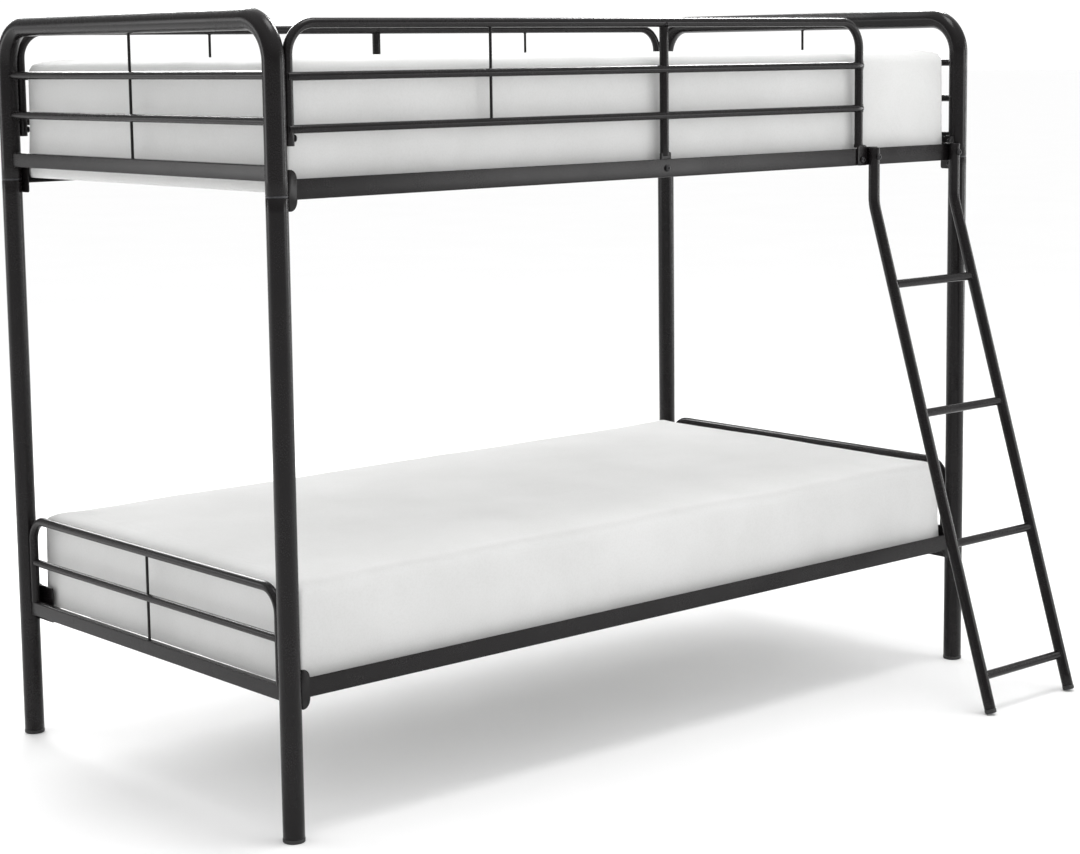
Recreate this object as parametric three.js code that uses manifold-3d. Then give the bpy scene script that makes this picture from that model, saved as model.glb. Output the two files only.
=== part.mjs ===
// A twin-over-twin metal bunk bed with a sloping ladder, in millimetres, +Z up.
// X runs along the bed, Y across it, and the ladder stands on the -Y side near the +X end.
// The origin is on the floor, in the middle of the whole footprint, ladder included.

import * as THREE from "three";
import { mergeVertices } from "three/addons/utils/BufferGeometryUtils.js";
import Module from "manifold-3d";

const wasm = await Module();
wasm.setup();

// ---------- driving dimensions ----------

const GAP = 0.3; // clearance between two pieces that touch
const WELD = 1; // how far a welded piece runs into its neighbour
const PAST = 1; // how far a cutting shape runs past what it cuts

const POST_SPAN_X = 1935; // post axis to post axis, along the bed
const POST_SPAN_Y = 986; // post axis to post axis, across the bed
const POST_RADIUS = 21;
const TUBE_WALL = 1.5;
const JOINT_Z = 1212; // where the upper end frames stand on the lower ones
const TOP_TUBE_Z = 1532.7; // axis of the tube over each upper end frame
const TOP_TUBE_BEND = 80;

const FOOT_CAP_HEIGHT = 8;
const CAP_OVERHANG = 0.5; // how far a plastic cap stands out past its tube
const CAP_EDGE = 2.5; // rounding of a foot cap's sole
const PLUG_LENGTH = 24;

const SLEEVE_LENGTH = 140;
const SLEEVE_WALL = 2.4;
const COLLAR_HEIGHT = 4;

const ROD_RADIUS = 8;
const SPINDLE_RADIUS = 3;
const CROSSBAR_HEIGHT = 30;
const CROSSBAR_WIDTH = 15;

const UPPER_CROSSBAR_Z = 1253.2; // middle of the crossbar
const UPPER_ROD_Z = [1430.6, 1347.6];

const LOWER_CROSSBAR_Z = 282.5;
const LOWER_ROD_Z = 384.7;
const ARCH_Z = 479; // axis of the arch's level run
const ARCH_RADIUS = 9.5;
const ARCH_BEND = 48;

const RAIL_HEIGHT = 38;
const RAIL_FLANGE = 38;
const RAIL_THICKNESS = 3;
const RAIL_OUTSET = 8; // outer face of a rail, outwards from the post axis
const UPPER_RAIL_Z = 1204.3; // underside of the rail
const LOWER_RAIL_Z = 272.5;

const BRACKET_REACH = 40; // from the post axis along the rail
const BRACKET_ABOVE = 17.5; // above the rail's top edge
const BRACKET_BELOW = 21; // below the rail's underside
const BRACKET_TAPER = 7;
const BRACKET_ROUND = 2; // how full the bracket's rounded corners are
const UPPER_BRACKET_RETURN = 38; // width of the ear that lies on the post
const LOWER_BRACKET_RETURN = 72;
const BRACKET_BOLT_INSET = 12; // from the bracket's top or bottom edge
const BRACKET_BOLT_IN = 3; // from the post axis, inwards, so that the head clears the rail

const SLATS_PER_DECK = 6;
const SLAT_WIDTH = 30;
const SLAT_HEIGHT = 6;
const SLAT_WALL = 1.5;
const SLAT_STOP = { x: 4, y: 12, z: 5 }; // the tabs that keep a slat in place

const MATTRESS_END_GAP = 1.2; // between the mattress and the brackets' ears
const MATTRESS_SIDE_GAP = 1.5; // between the mattress and the guard rails
const UPPER_MATTRESS_THICKNESS = 241;
const LOWER_MATTRESS_THICKNESS = 199;
const MATTRESS_CORNER = 50;
const MATTRESS_EDGE = 22;

const GUARD_RADIUS = 9.5;
const GUARD_WALL = 1.5;
const GUARD_BEND = 58;
const GUARD_TOP_Z = 1524;
const GUARD_ROD_Z = [1428, 1332.4];
const GUARD_ROD_OUTSET = 4; // the rods stand a little outside the guard's tube
const GUARD_ROD_PAST = 5; // and run this far past the leg's axis
const GUARD_LEG_Z = 1302; // lower end of a leg that is bolted to a post
const GUARD_MIDDLE_X = 10;
const GUARD_SPINDLES_FRONT = [-458];
const GUARD_SPINDLES_REAR = [-460, 478];
const GUARD_RIGHT_X = 617.8; // the front guard's free leg, beside the ladder
const GUARD_BOLT_RISE = 14; // from the leg's lower end up to its bolt
const TAB_WIDTH = 30;
const TAB_THICKNESS = 4;
const TAB_RISE = 6; // from the rail's top up to where a tube meets its tab
const TAB_LAP = 8; // how far a tab runs up behind its tube
const TAB_STEP_INSET = 4;

const LADDER_SPACING = 283.3; // upright axis to upright axis
const LADDER_LEFT_X = 647.5;
const LADDER_RADIUS = 12.7;
const LADDER_FOOT_OUT = 370; // foot of the upright's axis, outwards from the post axis
const LADDER_BEND_Z = 1118;
const LADDER_BEND_RADIUS = 110;
const RUNG_RADIUS = 9.5;
const RUNG_LOWEST_Z = 82;
const RUNG_PITCH = 285;
const RUNGS = 4;
const LADDER_CAP_LENGTH = 10;
const LADDER_CAP_EDGE = 4;
const HOOK_WIDTH = 22;
const HOOK_THICKNESS = 3;
const HOOK_DROP = 20;
const HOOK_SHIFT = [0, -15]; // each hook's middle from its upright's axis

const BOLT_RADIUS = 4;
const BOLT_CLEARANCE = 0.3;
const BOLT_HEAD_RADIUS = 7;
const BOLT_HEAD_HEIGHT = 4.5;
const BOLT_SOCKET_RADIUS = 2.6;
const BOLT_SOCKET_DEPTH = 2.2;
const BOLT_CROWN = 0.6; // radius of a head's flat top, as a share of its own radius
const BOLT_RIM = 0.4; // height of a head's straight side, as a share of its own height
const NUT_DEPTH = 8; // of a welded nut, from the post's surface inwards
const BOLT_LENGTH = { rail: 13, guard: 30, middle: 10, tab: 12, ladder: 33.4 };

// Sides of the round sections, and sections in each bend.
const POST_SIDES = 18;
const TUBE_SIDES = 12;
const ROD_SIDES = 10;
const BORE_SIDES = 8;
const POST_BORE_SIDES = 12;
const HOLE_SIDES = 6;
const BEND_STEPS = 6;
const BORE_BEND_STEPS = 5;
const THIN_SIDES = 6; // spindles, nuts and sockets
const EDGE_STEPS = 2;
const LADDER_BEND_STEPS = 4;

// ---------- derived values ----------

const HALF_X = POST_SPAN_X / 2;
const HALF_Y = POST_SPAN_Y / 2;
const POST_BORE = POST_RADIUS - TUBE_WALL;
const POST_FOOT_Z = FOOT_CAP_HEIGHT + GAP;
const LOWER_POST_TOP = JOINT_Z - COLLAR_HEIGHT / 2 - GAP;
const UPPER_LEG_FOOT = JOINT_Z + COLLAR_HEIGHT / 2 + GAP;
const GUARD_LEG_INSET = POST_RADIUS + GUARD_RADIUS + GAP; // from the post's axis
const RAIL_INNER = RAIL_OUTSET - RAIL_THICKNESS; // inner side of the rail's upright leg
const BRACKET_FACE = POST_RADIUS + GAP; // near side of the ear, from the post's axis
const SLAT_LENGTH = 2 * (HALF_Y + RAIL_INNER - GAP);
const MATTRESS_LENGTH = 2 * (HALF_X - BRACKET_FACE - RAIL_THICKNESS - MATTRESS_END_GAP);
const MATTRESS_WIDTH = 2 * (HALF_Y - GUARD_RADIUS - MATTRESS_SIDE_GAP);
const LADDER_OUT = RAIL_OUTSET + GAP + LADDER_RADIUS; // the upright's vertical stretch
const BOLT_HOLE = (BOLT_RADIUS + BOLT_CLEARANCE) / Math.cos(Math.PI / HOLE_SIDES);
const RAIL_BOLT_Y = HALF_Y - BRACKET_BOLT_IN;
const UPPER_RAIL_TOP = UPPER_RAIL_Z + RAIL_HEIGHT;
const RAIL_MIDDLE_BOLT_Z = UPPER_RAIL_Z + RAIL_HEIGHT / 2;
const TAB_BOLT_Z = UPPER_RAIL_Z + RAIL_HEIGHT / 3;
const GUARD_BOLT_Z = GUARD_LEG_Z + GUARD_BOLT_RISE;
const GUARD_END_X = HALF_X - GUARD_LEG_INSET;
const LADDER_LEAN = Math.atan((LADDER_FOOT_OUT - LADDER_OUT) / LADDER_BEND_Z);
// The middle of the ladder cap's sole is this high, so that the sole's lowest edge is on the floor.
const LADDER_SOLE_Z =
  (LADDER_RADIUS + CAP_OVERHANG - LADDER_CAP_EDGE) * Math.sin(LADDER_LEAN) +
  LADDER_CAP_EDGE * (1 - Math.cos(LADDER_LEAN));

// ---------- colours ----------

const frameBlack = material(0x2a2828, 0.42, 0.35);
const capBlack = material(0x161616, 0.6, 0);
const boltBlack = material(0x1c1c1e, 0.4, 0.8);
const sleeveSteel = material(0x55555a, 0.35, 0.9);
const mattressWhite = material(0xe6e6e4, 0.9, 0);

function material(color, roughness, metalness) {
  return new THREE.MeshStandardMaterial({ color, roughness, metalness });
}

// ---------- solids ----------

function solidOf(geometry) {
  const bare = geometry.clone();
  bare.deleteAttribute("normal");
  bare.deleteAttribute("uv");
  const merged = mergeVertices(bare, 1e-4);
  const vertProperties = new Float32Array(merged.attributes.position.array);
  const triVerts = new Uint32Array(merged.index.array);
  const made = new wasm.Manifold(new wasm.Mesh({ numProp: 3, vertProperties, triVerts }));
  if (made.volume() > 0) return made;
  for (let i = 0; i < triVerts.length; i += 3) {
    const second = triVerts[i + 1];
    triVerts[i + 1] = triVerts[i + 2];
    triVerts[i + 2] = second;
  }
  return new wasm.Manifold(new wasm.Mesh({ numProp: 3, vertProperties, triVerts }));
}

function join(solids) {
  return solids.reduce((whole, next) => whole.add(next));
}

function cut(solid, tools) {
  return tools.reduce((left, tool) => left.subtract(tool), solid);
}

function geometryOf(solid) {
  const { vertProperties, triVerts } = solid.getMesh();
  const geometry = new THREE.BufferGeometry();
  geometry.setAttribute("position", new THREE.BufferAttribute(vertProperties, 3));
  geometry.setIndex(new THREE.BufferAttribute(triVerts, 1));
  geometry.computeVertexNormals();
  return geometry;
}

// A route of straight runs and round bends. Its stations are only where the tube needs a section.
class BentRoute extends THREE.Curve {
  constructor(corners, bendRadius, stepsPerBend) {
    super();
    this.stations = [];
    const last = corners.length - 1;
    corners.forEach((corner, i) => {
      if (i === 0 || i === last) {
        const along = i === 0 ? corners[1].clone().sub(corner) : corner.clone().sub(corners[i - 1]);
        this.stations.push({ point: corner.clone(), tangent: along.normalize() });
        return;
      }
      const into = corner.clone().sub(corners[i - 1]).normalize();
      const out = corners[i + 1].clone().sub(corner).normalize();
      this.addBend(corner, into, out, bendRadius, stepsPerBend);
    });
  }

  addBend(corner, into, out, radius, steps) {
    const turn = into.angleTo(out);
    const start = corner.clone().addScaledVector(into, -radius * Math.tan(turn / 2));
    const axis = into.clone().cross(out).normalize();
    const toStart = into.clone().cross(axis).multiplyScalar(radius);
    const centre = start.clone().sub(toStart);
    for (let i = 0; i <= steps; i++) {
      const angle = (turn * i) / steps;
      const point = toStart.clone().applyAxisAngle(axis, angle).add(centre);
      this.stations.push({ point, tangent: into.clone().applyAxisAngle(axis, angle) });
    }
  }

  get steps() {
    return this.stations.length - 1;
  }

  stationAt(u) {
    return this.stations[Math.round(u * this.steps)];
  }

  getPointAt(u) {
    return this.stationAt(u).point.clone();
  }

  getTangentAt(u) {
    return this.stationAt(u).tangent.clone();
  }
}

// The largest circle inside a many-sided bore.
function inscribed(radius, sides) {
  return radius * Math.cos(Math.PI / sides);
}

function circle(radius, sides) {
  const points = [];
  for (let i = 0; i < sides; i++) {
    const angle = (2 * Math.PI * (i + 0.5)) / sides;
    points.push(new THREE.Vector2(radius * Math.cos(angle), radius * Math.sin(angle)));
  }
  return new THREE.Shape(points);
}

// A round bar along [x, y, z] corners, bent round at each inner corner.
function bar(corners, radius, sides, bendRadius = 0, stepsPerBend = 8) {
  const points = corners.map((c) => new THREE.Vector3(...c));
  const route = new BentRoute(points, bendRadius, stepsPerBend);
  return solidOf(
    new THREE.ExtrudeGeometry(circle(radius, sides), {
      steps: route.steps,
      extrudePath: route,
      bevelEnabled: false,
    }),
  );
}

// A block between its lowest and highest corners.
function block(low, high) {
  const size = high.map((h, i) => h - low[i]);
  const geometry = new THREE.BoxGeometry(...size);
  geometry.translate(...high.map((h, i) => (h + low[i]) / 2));
  return solidOf(geometry);
}

// A profile of [radius, height] pairs turned about +Z.
function turned(profile, sides) {
  const points = profile.map(([r, z]) => new THREE.Vector2(r, z));
  const geometry = new THREE.LatheGeometry(points, sides);
  geometry.rotateX(Math.PI / 2);
  return solidOf(geometry);
}

// The rounded lower edge of a turned piece that stands on z = 0, as [radius, height] pairs.
function quarterRound(radius, edge) {
  const points = [];
  for (let i = 0; i <= EDGE_STEPS; i++) {
    const angle = (Math.PI / 2) * (i / EDGE_STEPS);
    points.push([radius - edge + edge * Math.sin(angle), edge - edge * Math.cos(angle)]);
  }
  return points;
}

// ---------- the assembly ----------

const bed = new THREE.Group();

function addPiece(name, solid, look, parent = bed) {
  const mesh = new THREE.Mesh(geometryOf(solid), look);
  mesh.name = name;
  parent.add(mesh);
  return mesh;
}

// ---------- end frames ----------

// Where the side rails' bolts enter a post, as heights.
function boltHeights(railZ) {
  return [
    railZ - BRACKET_BELOW + BRACKET_BOLT_INSET,
    railZ + RAIL_HEIGHT + BRACKET_ABOVE - BRACKET_BOLT_INSET,
  ];
}

// Holes for the rail bolts in both posts of the end at endX, from the bed's side.
function railBoltHoles(endX, heights) {
  const inward = -Math.sign(endX);
  return [-RAIL_BOLT_Y, RAIL_BOLT_Y].flatMap((y) =>
    heights.map((z) =>
      bar([[endX + inward * POST_RADIUS / 4, y, z], [endX + inward * (POST_RADIUS + PAST), y, z]],
        BOLT_HOLE, HOLE_SIDES),
    ),
  );
}

// A box tube across the end, with the bore that opens it into both posts.
function crossbar(endX, z) {
  const w = CROSSBAR_WIDTH / 2;
  const h = CROSSBAR_HEIGHT / 2;
  const reach = HALF_Y - POST_RADIUS + 2 * TUBE_WALL;
  const tube = block([endX - w, -reach, z - h], [endX + w, reach, z + h]);
  const inside = block(
    [endX - w + TUBE_WALL, -reach - PAST, z - h + TUBE_WALL],
    [endX + w - TUBE_WALL, reach + PAST, z + h - TUBE_WALL],
  );
  return { tube, inside };
}

function crossRod(endX, z) {
  const reach = HALF_Y - POST_RADIUS + TUBE_WALL / 2;
  const tube = bar([[endX, -reach, z], [endX, reach, z]], ROD_RADIUS, ROD_SIDES);
  const inside = bar([[endX, -reach - PAST, z], [endX, reach + PAST, z]], ROD_RADIUS - TUBE_WALL,
    HOLE_SIDES);
  return { tube, inside };
}

function lowerEndFrame(endX) {
  const posts = [];
  const bores = [];
  for (const y of [-HALF_Y, HALF_Y]) {
    posts.push(bar([[endX, y, POST_FOOT_Z], [endX, y, LOWER_POST_TOP]], POST_RADIUS, POST_SIDES));
    bores.push(bar([[endX, y, 0], [endX, y, JOINT_Z]], POST_BORE, POST_BORE_SIDES));
  }
  const cross = crossbar(endX, LOWER_CROSSBAR_Z);
  const rod = crossRod(endX, LOWER_ROD_Z);
  const legY = HALF_Y - POST_RADIUS - ARCH_RADIUS + WELD;
  const legZ = LOWER_CROSSBAR_Z + CROSSBAR_HEIGHT / 2 - TUBE_WALL / 2;
  const arch = bar(
    [[endX, -legY, legZ], [endX, -legY, ARCH_Z], [endX, legY, ARCH_Z], [endX, legY, legZ]],
    ARCH_RADIUS, ROD_SIDES, ARCH_BEND, BEND_STEPS,
  );
  const spindle = bar([[endX, 0, legZ], [endX, 0, ARCH_Z]], SPINDLE_RADIUS, THIN_SIDES);
  const heights = boltHeights(LOWER_RAIL_Z);
  const inward = -Math.sign(endX);
  const nuts = [-RAIL_BOLT_Y, RAIL_BOLT_Y].flatMap((y) =>
    heights.map((z) =>
      bar([[endX + inward * (POST_RADIUS - NUT_DEPTH), y, z], [endX + inward * (POST_BORE + WELD), y, z]],
        BOLT_HEAD_RADIUS, THIN_SIDES),
    ),
  );
  const shell = cut(join([...posts, cross.tube]), [...bores, cross.inside]);
  const welded = cut(join([shell, arch, rod.tube]), [rod.inside]);
  const holes = railBoltHoles(endX, [...heights, boltHeights(UPPER_RAIL_Z)[0]]);
  return cut(join([welded, spindle, ...nuts]), holes);
}

function upperEndFrame(endX) {
  const corners = (footZ) => [
    [endX, -HALF_Y, footZ],
    [endX, -HALF_Y, TOP_TUBE_Z],
    [endX, HALF_Y, TOP_TUBE_Z],
    [endX, HALF_Y, footZ],
  ];
  const bow = bar(corners(UPPER_LEG_FOOT), POST_RADIUS, POST_SIDES, TOP_TUBE_BEND, BEND_STEPS);
  const bore = bar(corners(JOINT_Z - PAST), POST_BORE, POST_BORE_SIDES, TOP_TUBE_BEND,
    BORE_BEND_STEPS);
  const cross = crossbar(endX, UPPER_CROSSBAR_Z);
  const rods = UPPER_ROD_Z.map((z) => crossRod(endX, z));
  const tubes = [bow, cross.tube, ...rods.map((r) => r.tube)];
  const insides = [bore, cross.inside, ...rods.map((r) => r.inside)];
  const spindle = bar(
    [
      [endX, 0, UPPER_CROSSBAR_Z + CROSSBAR_HEIGHT / 2 - TUBE_WALL / 2],
      [endX, 0, TOP_TUBE_Z - POST_RADIUS + TUBE_WALL / 2],
    ],
    SPINDLE_RADIUS, THIN_SIDES,
  );
  const holes = railBoltHoles(endX, [boltHeights(UPPER_RAIL_Z)[1]]);
  const guardHoles = [-HALF_Y, HALF_Y].map((y) => guardBoltHole(endX, y));
  return cut(join([cut(join(tubes), insides), spindle]), [...holes, ...guardHoles]);
}

// ---------- sleeves and caps ----------

// A steel tube inside both halves of a post, with the collar that they stand on.
function sleeve(x, y) {
  const outer = inscribed(POST_BORE, POST_BORE_SIDES) - GAP;
  const half = SLEEVE_LENGTH / 2;
  const collar = COLLAR_HEIGHT / 2;
  const profile = [
    [outer - SLEEVE_WALL, -half],
    [outer, -half],
    [outer, -collar],
    [POST_RADIUS, -collar],
    [POST_RADIUS, collar],
    [outer, collar],
    [outer, half],
    [outer - SLEEVE_WALL, half],
    [outer - SLEEVE_WALL, -half],
  ];
  const placed = turned(profile, POST_SIDES).translate([x, y, JOINT_Z]);
  const boltY = Math.sign(y) * RAIL_BOLT_Y;
  const holes = boltHeights(UPPER_RAIL_Z).map((z) =>
    bar([[x, boltY, z], [x - Math.sign(x) * POST_RADIUS, boltY, z]], BOLT_HOLE, HOLE_SIDES),
  );
  return cut(placed, holes);
}

// A cap whose plug fills a tube's bore; its foot is at z = 0 and its seat at z = height.
function plugCap(tubeRadius, sides, boreSides, height, edge) {
  const outer = tubeRadius + CAP_OVERHANG;
  const plug = inscribed(tubeRadius - TUBE_WALL, boreSides) - GAP;
  return turned(
    [
      [0, 0],
      ...quarterRound(outer, edge),
      [outer, height],
      [plug, height],
      [plug, height + PLUG_LENGTH],
      [0, height + PLUG_LENGTH],
    ],
    sides,
  );
}

// ---------- side rails ----------

// An angle-iron rail with an end bracket at each post. side is -1 at the front and 1 at the rear.
function sideRail(side, railZ, earWidth) {
  const y = (inset) => side * (HALF_Y - inset); // inset is measured inwards from the post axis
  const slab = (x0, x1, in0, in1, z0, z1) =>
    block(
      [Math.min(x0, x1), Math.min(y(in0), y(in1)), z0],
      [Math.max(x0, x1), Math.max(y(in0), y(in1)), z1],
    );
  const end = HALF_X - BRACKET_FACE;
  const top = railZ + RAIL_HEIGHT;
  const pieces = [
    slab(-end, end, -RAIL_OUTSET, -RAIL_INNER, railZ, top),
    slab(-end, end, -RAIL_INNER - WELD, RAIL_FLANGE - RAIL_OUTSET, railZ, railZ + RAIL_THICKNESS),
  ];
  for (const endX of [-HALF_X, HALF_X]) {
    const inward = -Math.sign(endX);
    const face = endX + inward * BRACKET_FACE;
    const z0 = railZ - BRACKET_BELOW;
    const z1 = top + BRACKET_ABOVE;
    pieces.push(bracketFace(side, endX, inward, z0, z1));
    pieces.push(slab(face, face + inward * RAIL_THICKNESS, -RAIL_OUTSET,
      earWidth - RAIL_OUTSET, z0, z1));
  }
  for (const x of slatPlaces()) {
    for (const way of [-1, 1]) {
      const near = x + way * (SLAT_WIDTH / 2 + GAP);
      pieces.push(slab(near, near + way * SLAT_STOP.x, -RAIL_INNER - WELD,
        -RAIL_INNER + SLAT_STOP.y, railZ + WELD, railZ + RAIL_THICKNESS + SLAT_STOP.z));
    }
  }
  return cut(join(pieces), railHoles(side, railZ));
}

// The bracket's outer plate, in line with the rail: tall at the post and rounded off along the rail.
function bracketFace(side, endX, inward, z0, z1) {
  const far = BRACKET_REACH;
  const full = far - BRACKET_ROUND;
  const shape = new THREE.Shape();
  shape.moveTo(BRACKET_FACE, z0);
  shape.lineTo(far - BRACKET_TAPER, z0);
  shape.quadraticCurveTo(full, z0 + BRACKET_ROUND, far, z0 + BRACKET_BELOW);
  shape.lineTo(far, z1 - BRACKET_ABOVE);
  shape.quadraticCurveTo(full, z1 - BRACKET_ROUND, far - BRACKET_TAPER, z1);
  shape.lineTo(BRACKET_FACE, z1);
  const geometry = new THREE.ExtrudeGeometry(shape, {
    depth: RAIL_THICKNESS, bevelEnabled: false, curveSegments: 4,
  });
  // The shape's x runs inwards from the post's axis and its y is height.
  const low = side < 0 ? -HALF_Y - RAIL_INNER : HALF_Y + RAIL_OUTSET;
  geometry.applyMatrix4(new THREE.Matrix4().set(
    inward, 0, 0, endX,
    0, 0, -1, low,
    0, 1, 0, 0,
    0, 0, 0, 1,
  ));
  return solidOf(geometry);
}

function slatPlaces() {
  const pitch = (POST_SPAN_X - 2 * BRACKET_REACH) / SLATS_PER_DECK;
  return Array.from({ length: SLATS_PER_DECK }, (_, i) => (i - (SLATS_PER_DECK - 1) / 2) * pitch);
}

// A hole through the rail's upright leg for each bolt that crosses it, and through each ear.
function railHoles(side, railZ) {
  const holes = [];
  for (const endX of [-HALF_X, HALF_X]) {
    const inward = -Math.sign(endX);
    for (const z of boltHeights(railZ)) {
      holes.push(bar(
        [[endX + inward * POST_RADIUS, side * RAIL_BOLT_Y, z],
          [endX + inward * (BRACKET_FACE + RAIL_THICKNESS + PAST), side * RAIL_BOLT_Y, z]],
        BOLT_HOLE, HOLE_SIDES,
      ));
    }
  }
  if (railZ !== UPPER_RAIL_Z) return holes;
  for (const { x, z } of railCrossings(side)) {
    const outside = side * (HALF_Y + RAIL_OUTSET + PAST);
    const inside = side * (HALF_Y + RAIL_INNER - PAST);
    holes.push(bar([[x, outside, z], [x, inside, z]], BOLT_HOLE, HOLE_SIDES));
  }
  return holes;
}

// The bolts through the upper rails' upright legs: guard rails and ladder.
function railCrossings(side) {
  const middle = { x: GUARD_MIDDLE_X, z: RAIL_MIDDLE_BOLT_Z };
  if (side > 0) return [middle];
  return [
    middle,
    { x: GUARD_RIGHT_X, z: TAB_BOLT_Z },
    ...ladderUprights().map(({ x }) => ({ x, z: RAIL_MIDDLE_BOLT_Z })),
  ];
}

// ---------- slats ----------

// A pressed channel, open underneath, that lies on both rails' flanges.
function slat(x, railZ) {
  const z = railZ + RAIL_THICKNESS + GAP;
  const w = SLAT_WIDTH / 2;
  const l = SLAT_LENGTH / 2;
  const body = block([x - w, -l, z], [x + w, l, z + SLAT_HEIGHT]);
  const inside = block(
    [x - w + SLAT_WALL, -l - PAST, z - PAST],
    [x + w - SLAT_WALL, l + PAST, z + SLAT_HEIGHT - SLAT_WALL],
  );
  return body.subtract(inside);
}

// ---------- guard rails ----------

// The hole for the bolt that holds a guard's leg to the post at (endX, y).
function guardBoltHole(endX, y) {
  const inward = -Math.sign(endX);
  return bar(
    [[endX, y, GUARD_BOLT_Z], [endX + inward * (POST_RADIUS + PAST), y, GUARD_BOLT_Z]],
    BOLT_HOLE, HOLE_SIDES,
  );
}

// A tube bow with two rods and thin spindles, over the rail on side. Its left leg is bolted to a
// post, and its right leg is at rightX: bolted to the other post, or free with a tab at its foot.
function guardRail(side, rightX, spindles) {
  const y = side * HALF_Y;
  const free = rightX < GUARD_END_X;
  const legs = free ? [-GUARD_END_X] : [-GUARD_END_X, rightX];
  const corners = (leftZ, rightZ) => [
    [-GUARD_END_X, y, leftZ],
    [-GUARD_END_X, y, GUARD_TOP_Z],
    [rightX, y, GUARD_TOP_Z],
    [rightX, y, rightZ],
  ];
  const bow = bar(corners(GUARD_LEG_Z, free ? UPPER_RAIL_TOP + TAB_RISE : GUARD_LEG_Z),
    GUARD_RADIUS, TUBE_SIDES, GUARD_BEND, BEND_STEPS);
  const bore = bar(corners(GUARD_LEG_Z - PAST, free ? GUARD_LEG_Z : GUARD_LEG_Z - PAST),
    GUARD_RADIUS - GUARD_WALL, HOLE_SIDES, GUARD_BEND, BORE_BEND_STEPS);
  const rodY = y + side * GUARD_ROD_OUTSET;
  const from = -GUARD_END_X - GUARD_ROD_PAST;
  const to = rightX + GUARD_ROD_PAST;
  const rods = GUARD_ROD_Z.map((z) => bar([[from, rodY, z], [to, rodY, z]], ROD_RADIUS, ROD_SIDES));
  const thin = spindles.map((x) =>
    bar([[x, y, GUARD_ROD_Z[1]], [x, y, GUARD_TOP_Z - GUARD_RADIUS + WELD]],
      SPINDLE_RADIUS, THIN_SIDES),
  );
  const tabs = free ? freeLegTab(side, rightX) : [];
  const body = join([bow.subtract(bore), ...rods, ...thin, ...guardMiddlePost(side), ...tabs]);
  const legHoles = legs.map((x) =>
    bar([[x - GUARD_RADIUS - PAST, y, GUARD_BOLT_Z], [x + GUARD_RADIUS + PAST, y, GUARD_BOLT_Z]],
      BOLT_HOLE, HOLE_SIDES),
  );
  return cut(body, [...legHoles, ...tabHoles(side)]);
}

// Holes through the flat tabs that are bolted to the upper rail.
function tabHoles(side) {
  return railCrossings(side).slice(0, 2).map(({ x, z }) =>
    bar([[x, side * (HALF_Y + POST_RADIUS), z], [x, side * (HALF_Y - POST_RADIUS), z]],
      BOLT_HOLE, HOLE_SIDES),
  );
}

// The post at mid length: a tube down to the rail, then a flat tab behind the rail's upright leg.
function guardMiddlePost(side) {
  const y = side * HALF_Y;
  const tabOut = side * (HALF_Y + RAIL_INNER - GAP);
  const tabIn = tabOut - side * TAB_THICKNESS;
  const tubeFoot = UPPER_RAIL_TOP + TAB_RISE;
  const tube = bar(
    [[GUARD_MIDDLE_X, y, tubeFoot], [GUARD_MIDDLE_X, y, GUARD_TOP_Z - GUARD_RADIUS + WELD]],
    GUARD_RADIUS, TUBE_SIDES,
  );
  const tab = block(
    [GUARD_MIDDLE_X - TAB_WIDTH / 2, Math.min(tabIn, tabOut), UPPER_RAIL_Z + 2 * RAIL_THICKNESS],
    [GUARD_MIDDLE_X + TAB_WIDTH / 2, Math.max(tabIn, tabOut), tubeFoot + TAB_LAP],
  );
  return [tube, tab];
}

// A free leg ends in a tab on the rail's outer face, with a step under the tube.
function freeLegTab(side, x) {
  const slab = (inset, out0, out1, z0, z1) => {
    const [y0, y1] = [side * out0, side * out1].sort((a, b) => a - b);
    return block([x - TAB_WIDTH / 2 + inset, y0, z0], [x + TAB_WIDTH / 2 - inset, y1, z1]);
  };
  const face = HALF_Y + RAIL_OUTSET + GAP;
  const top = UPPER_RAIL_TOP + TAB_RISE;
  return [
    slab(0, face, face + TAB_THICKNESS, UPPER_RAIL_Z, top),
    slab(TAB_STEP_INSET, HALF_Y - GUARD_RADIUS / 2, face + TAB_THICKNESS, UPPER_RAIL_TOP + 2,
      top + 2),
  ];
}

// ---------- ladder ----------

function ladderUprights() {
  return [
    { x: LADDER_LEFT_X, hookX: LADDER_LEFT_X + HOOK_SHIFT[0] },
    { x: LADDER_LEFT_X + LADDER_SPACING, hookX: LADDER_LEFT_X + LADDER_SPACING + HOOK_SHIFT[1] },
  ];
}

// How far out the slanted stretch's axis is at height z.
function ladderOutAt(z) {
  return LADDER_OUT + ((LADDER_FOOT_OUT - LADDER_OUT) * (LADDER_BEND_Z - z)) / LADDER_BEND_Z;
}

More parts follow.
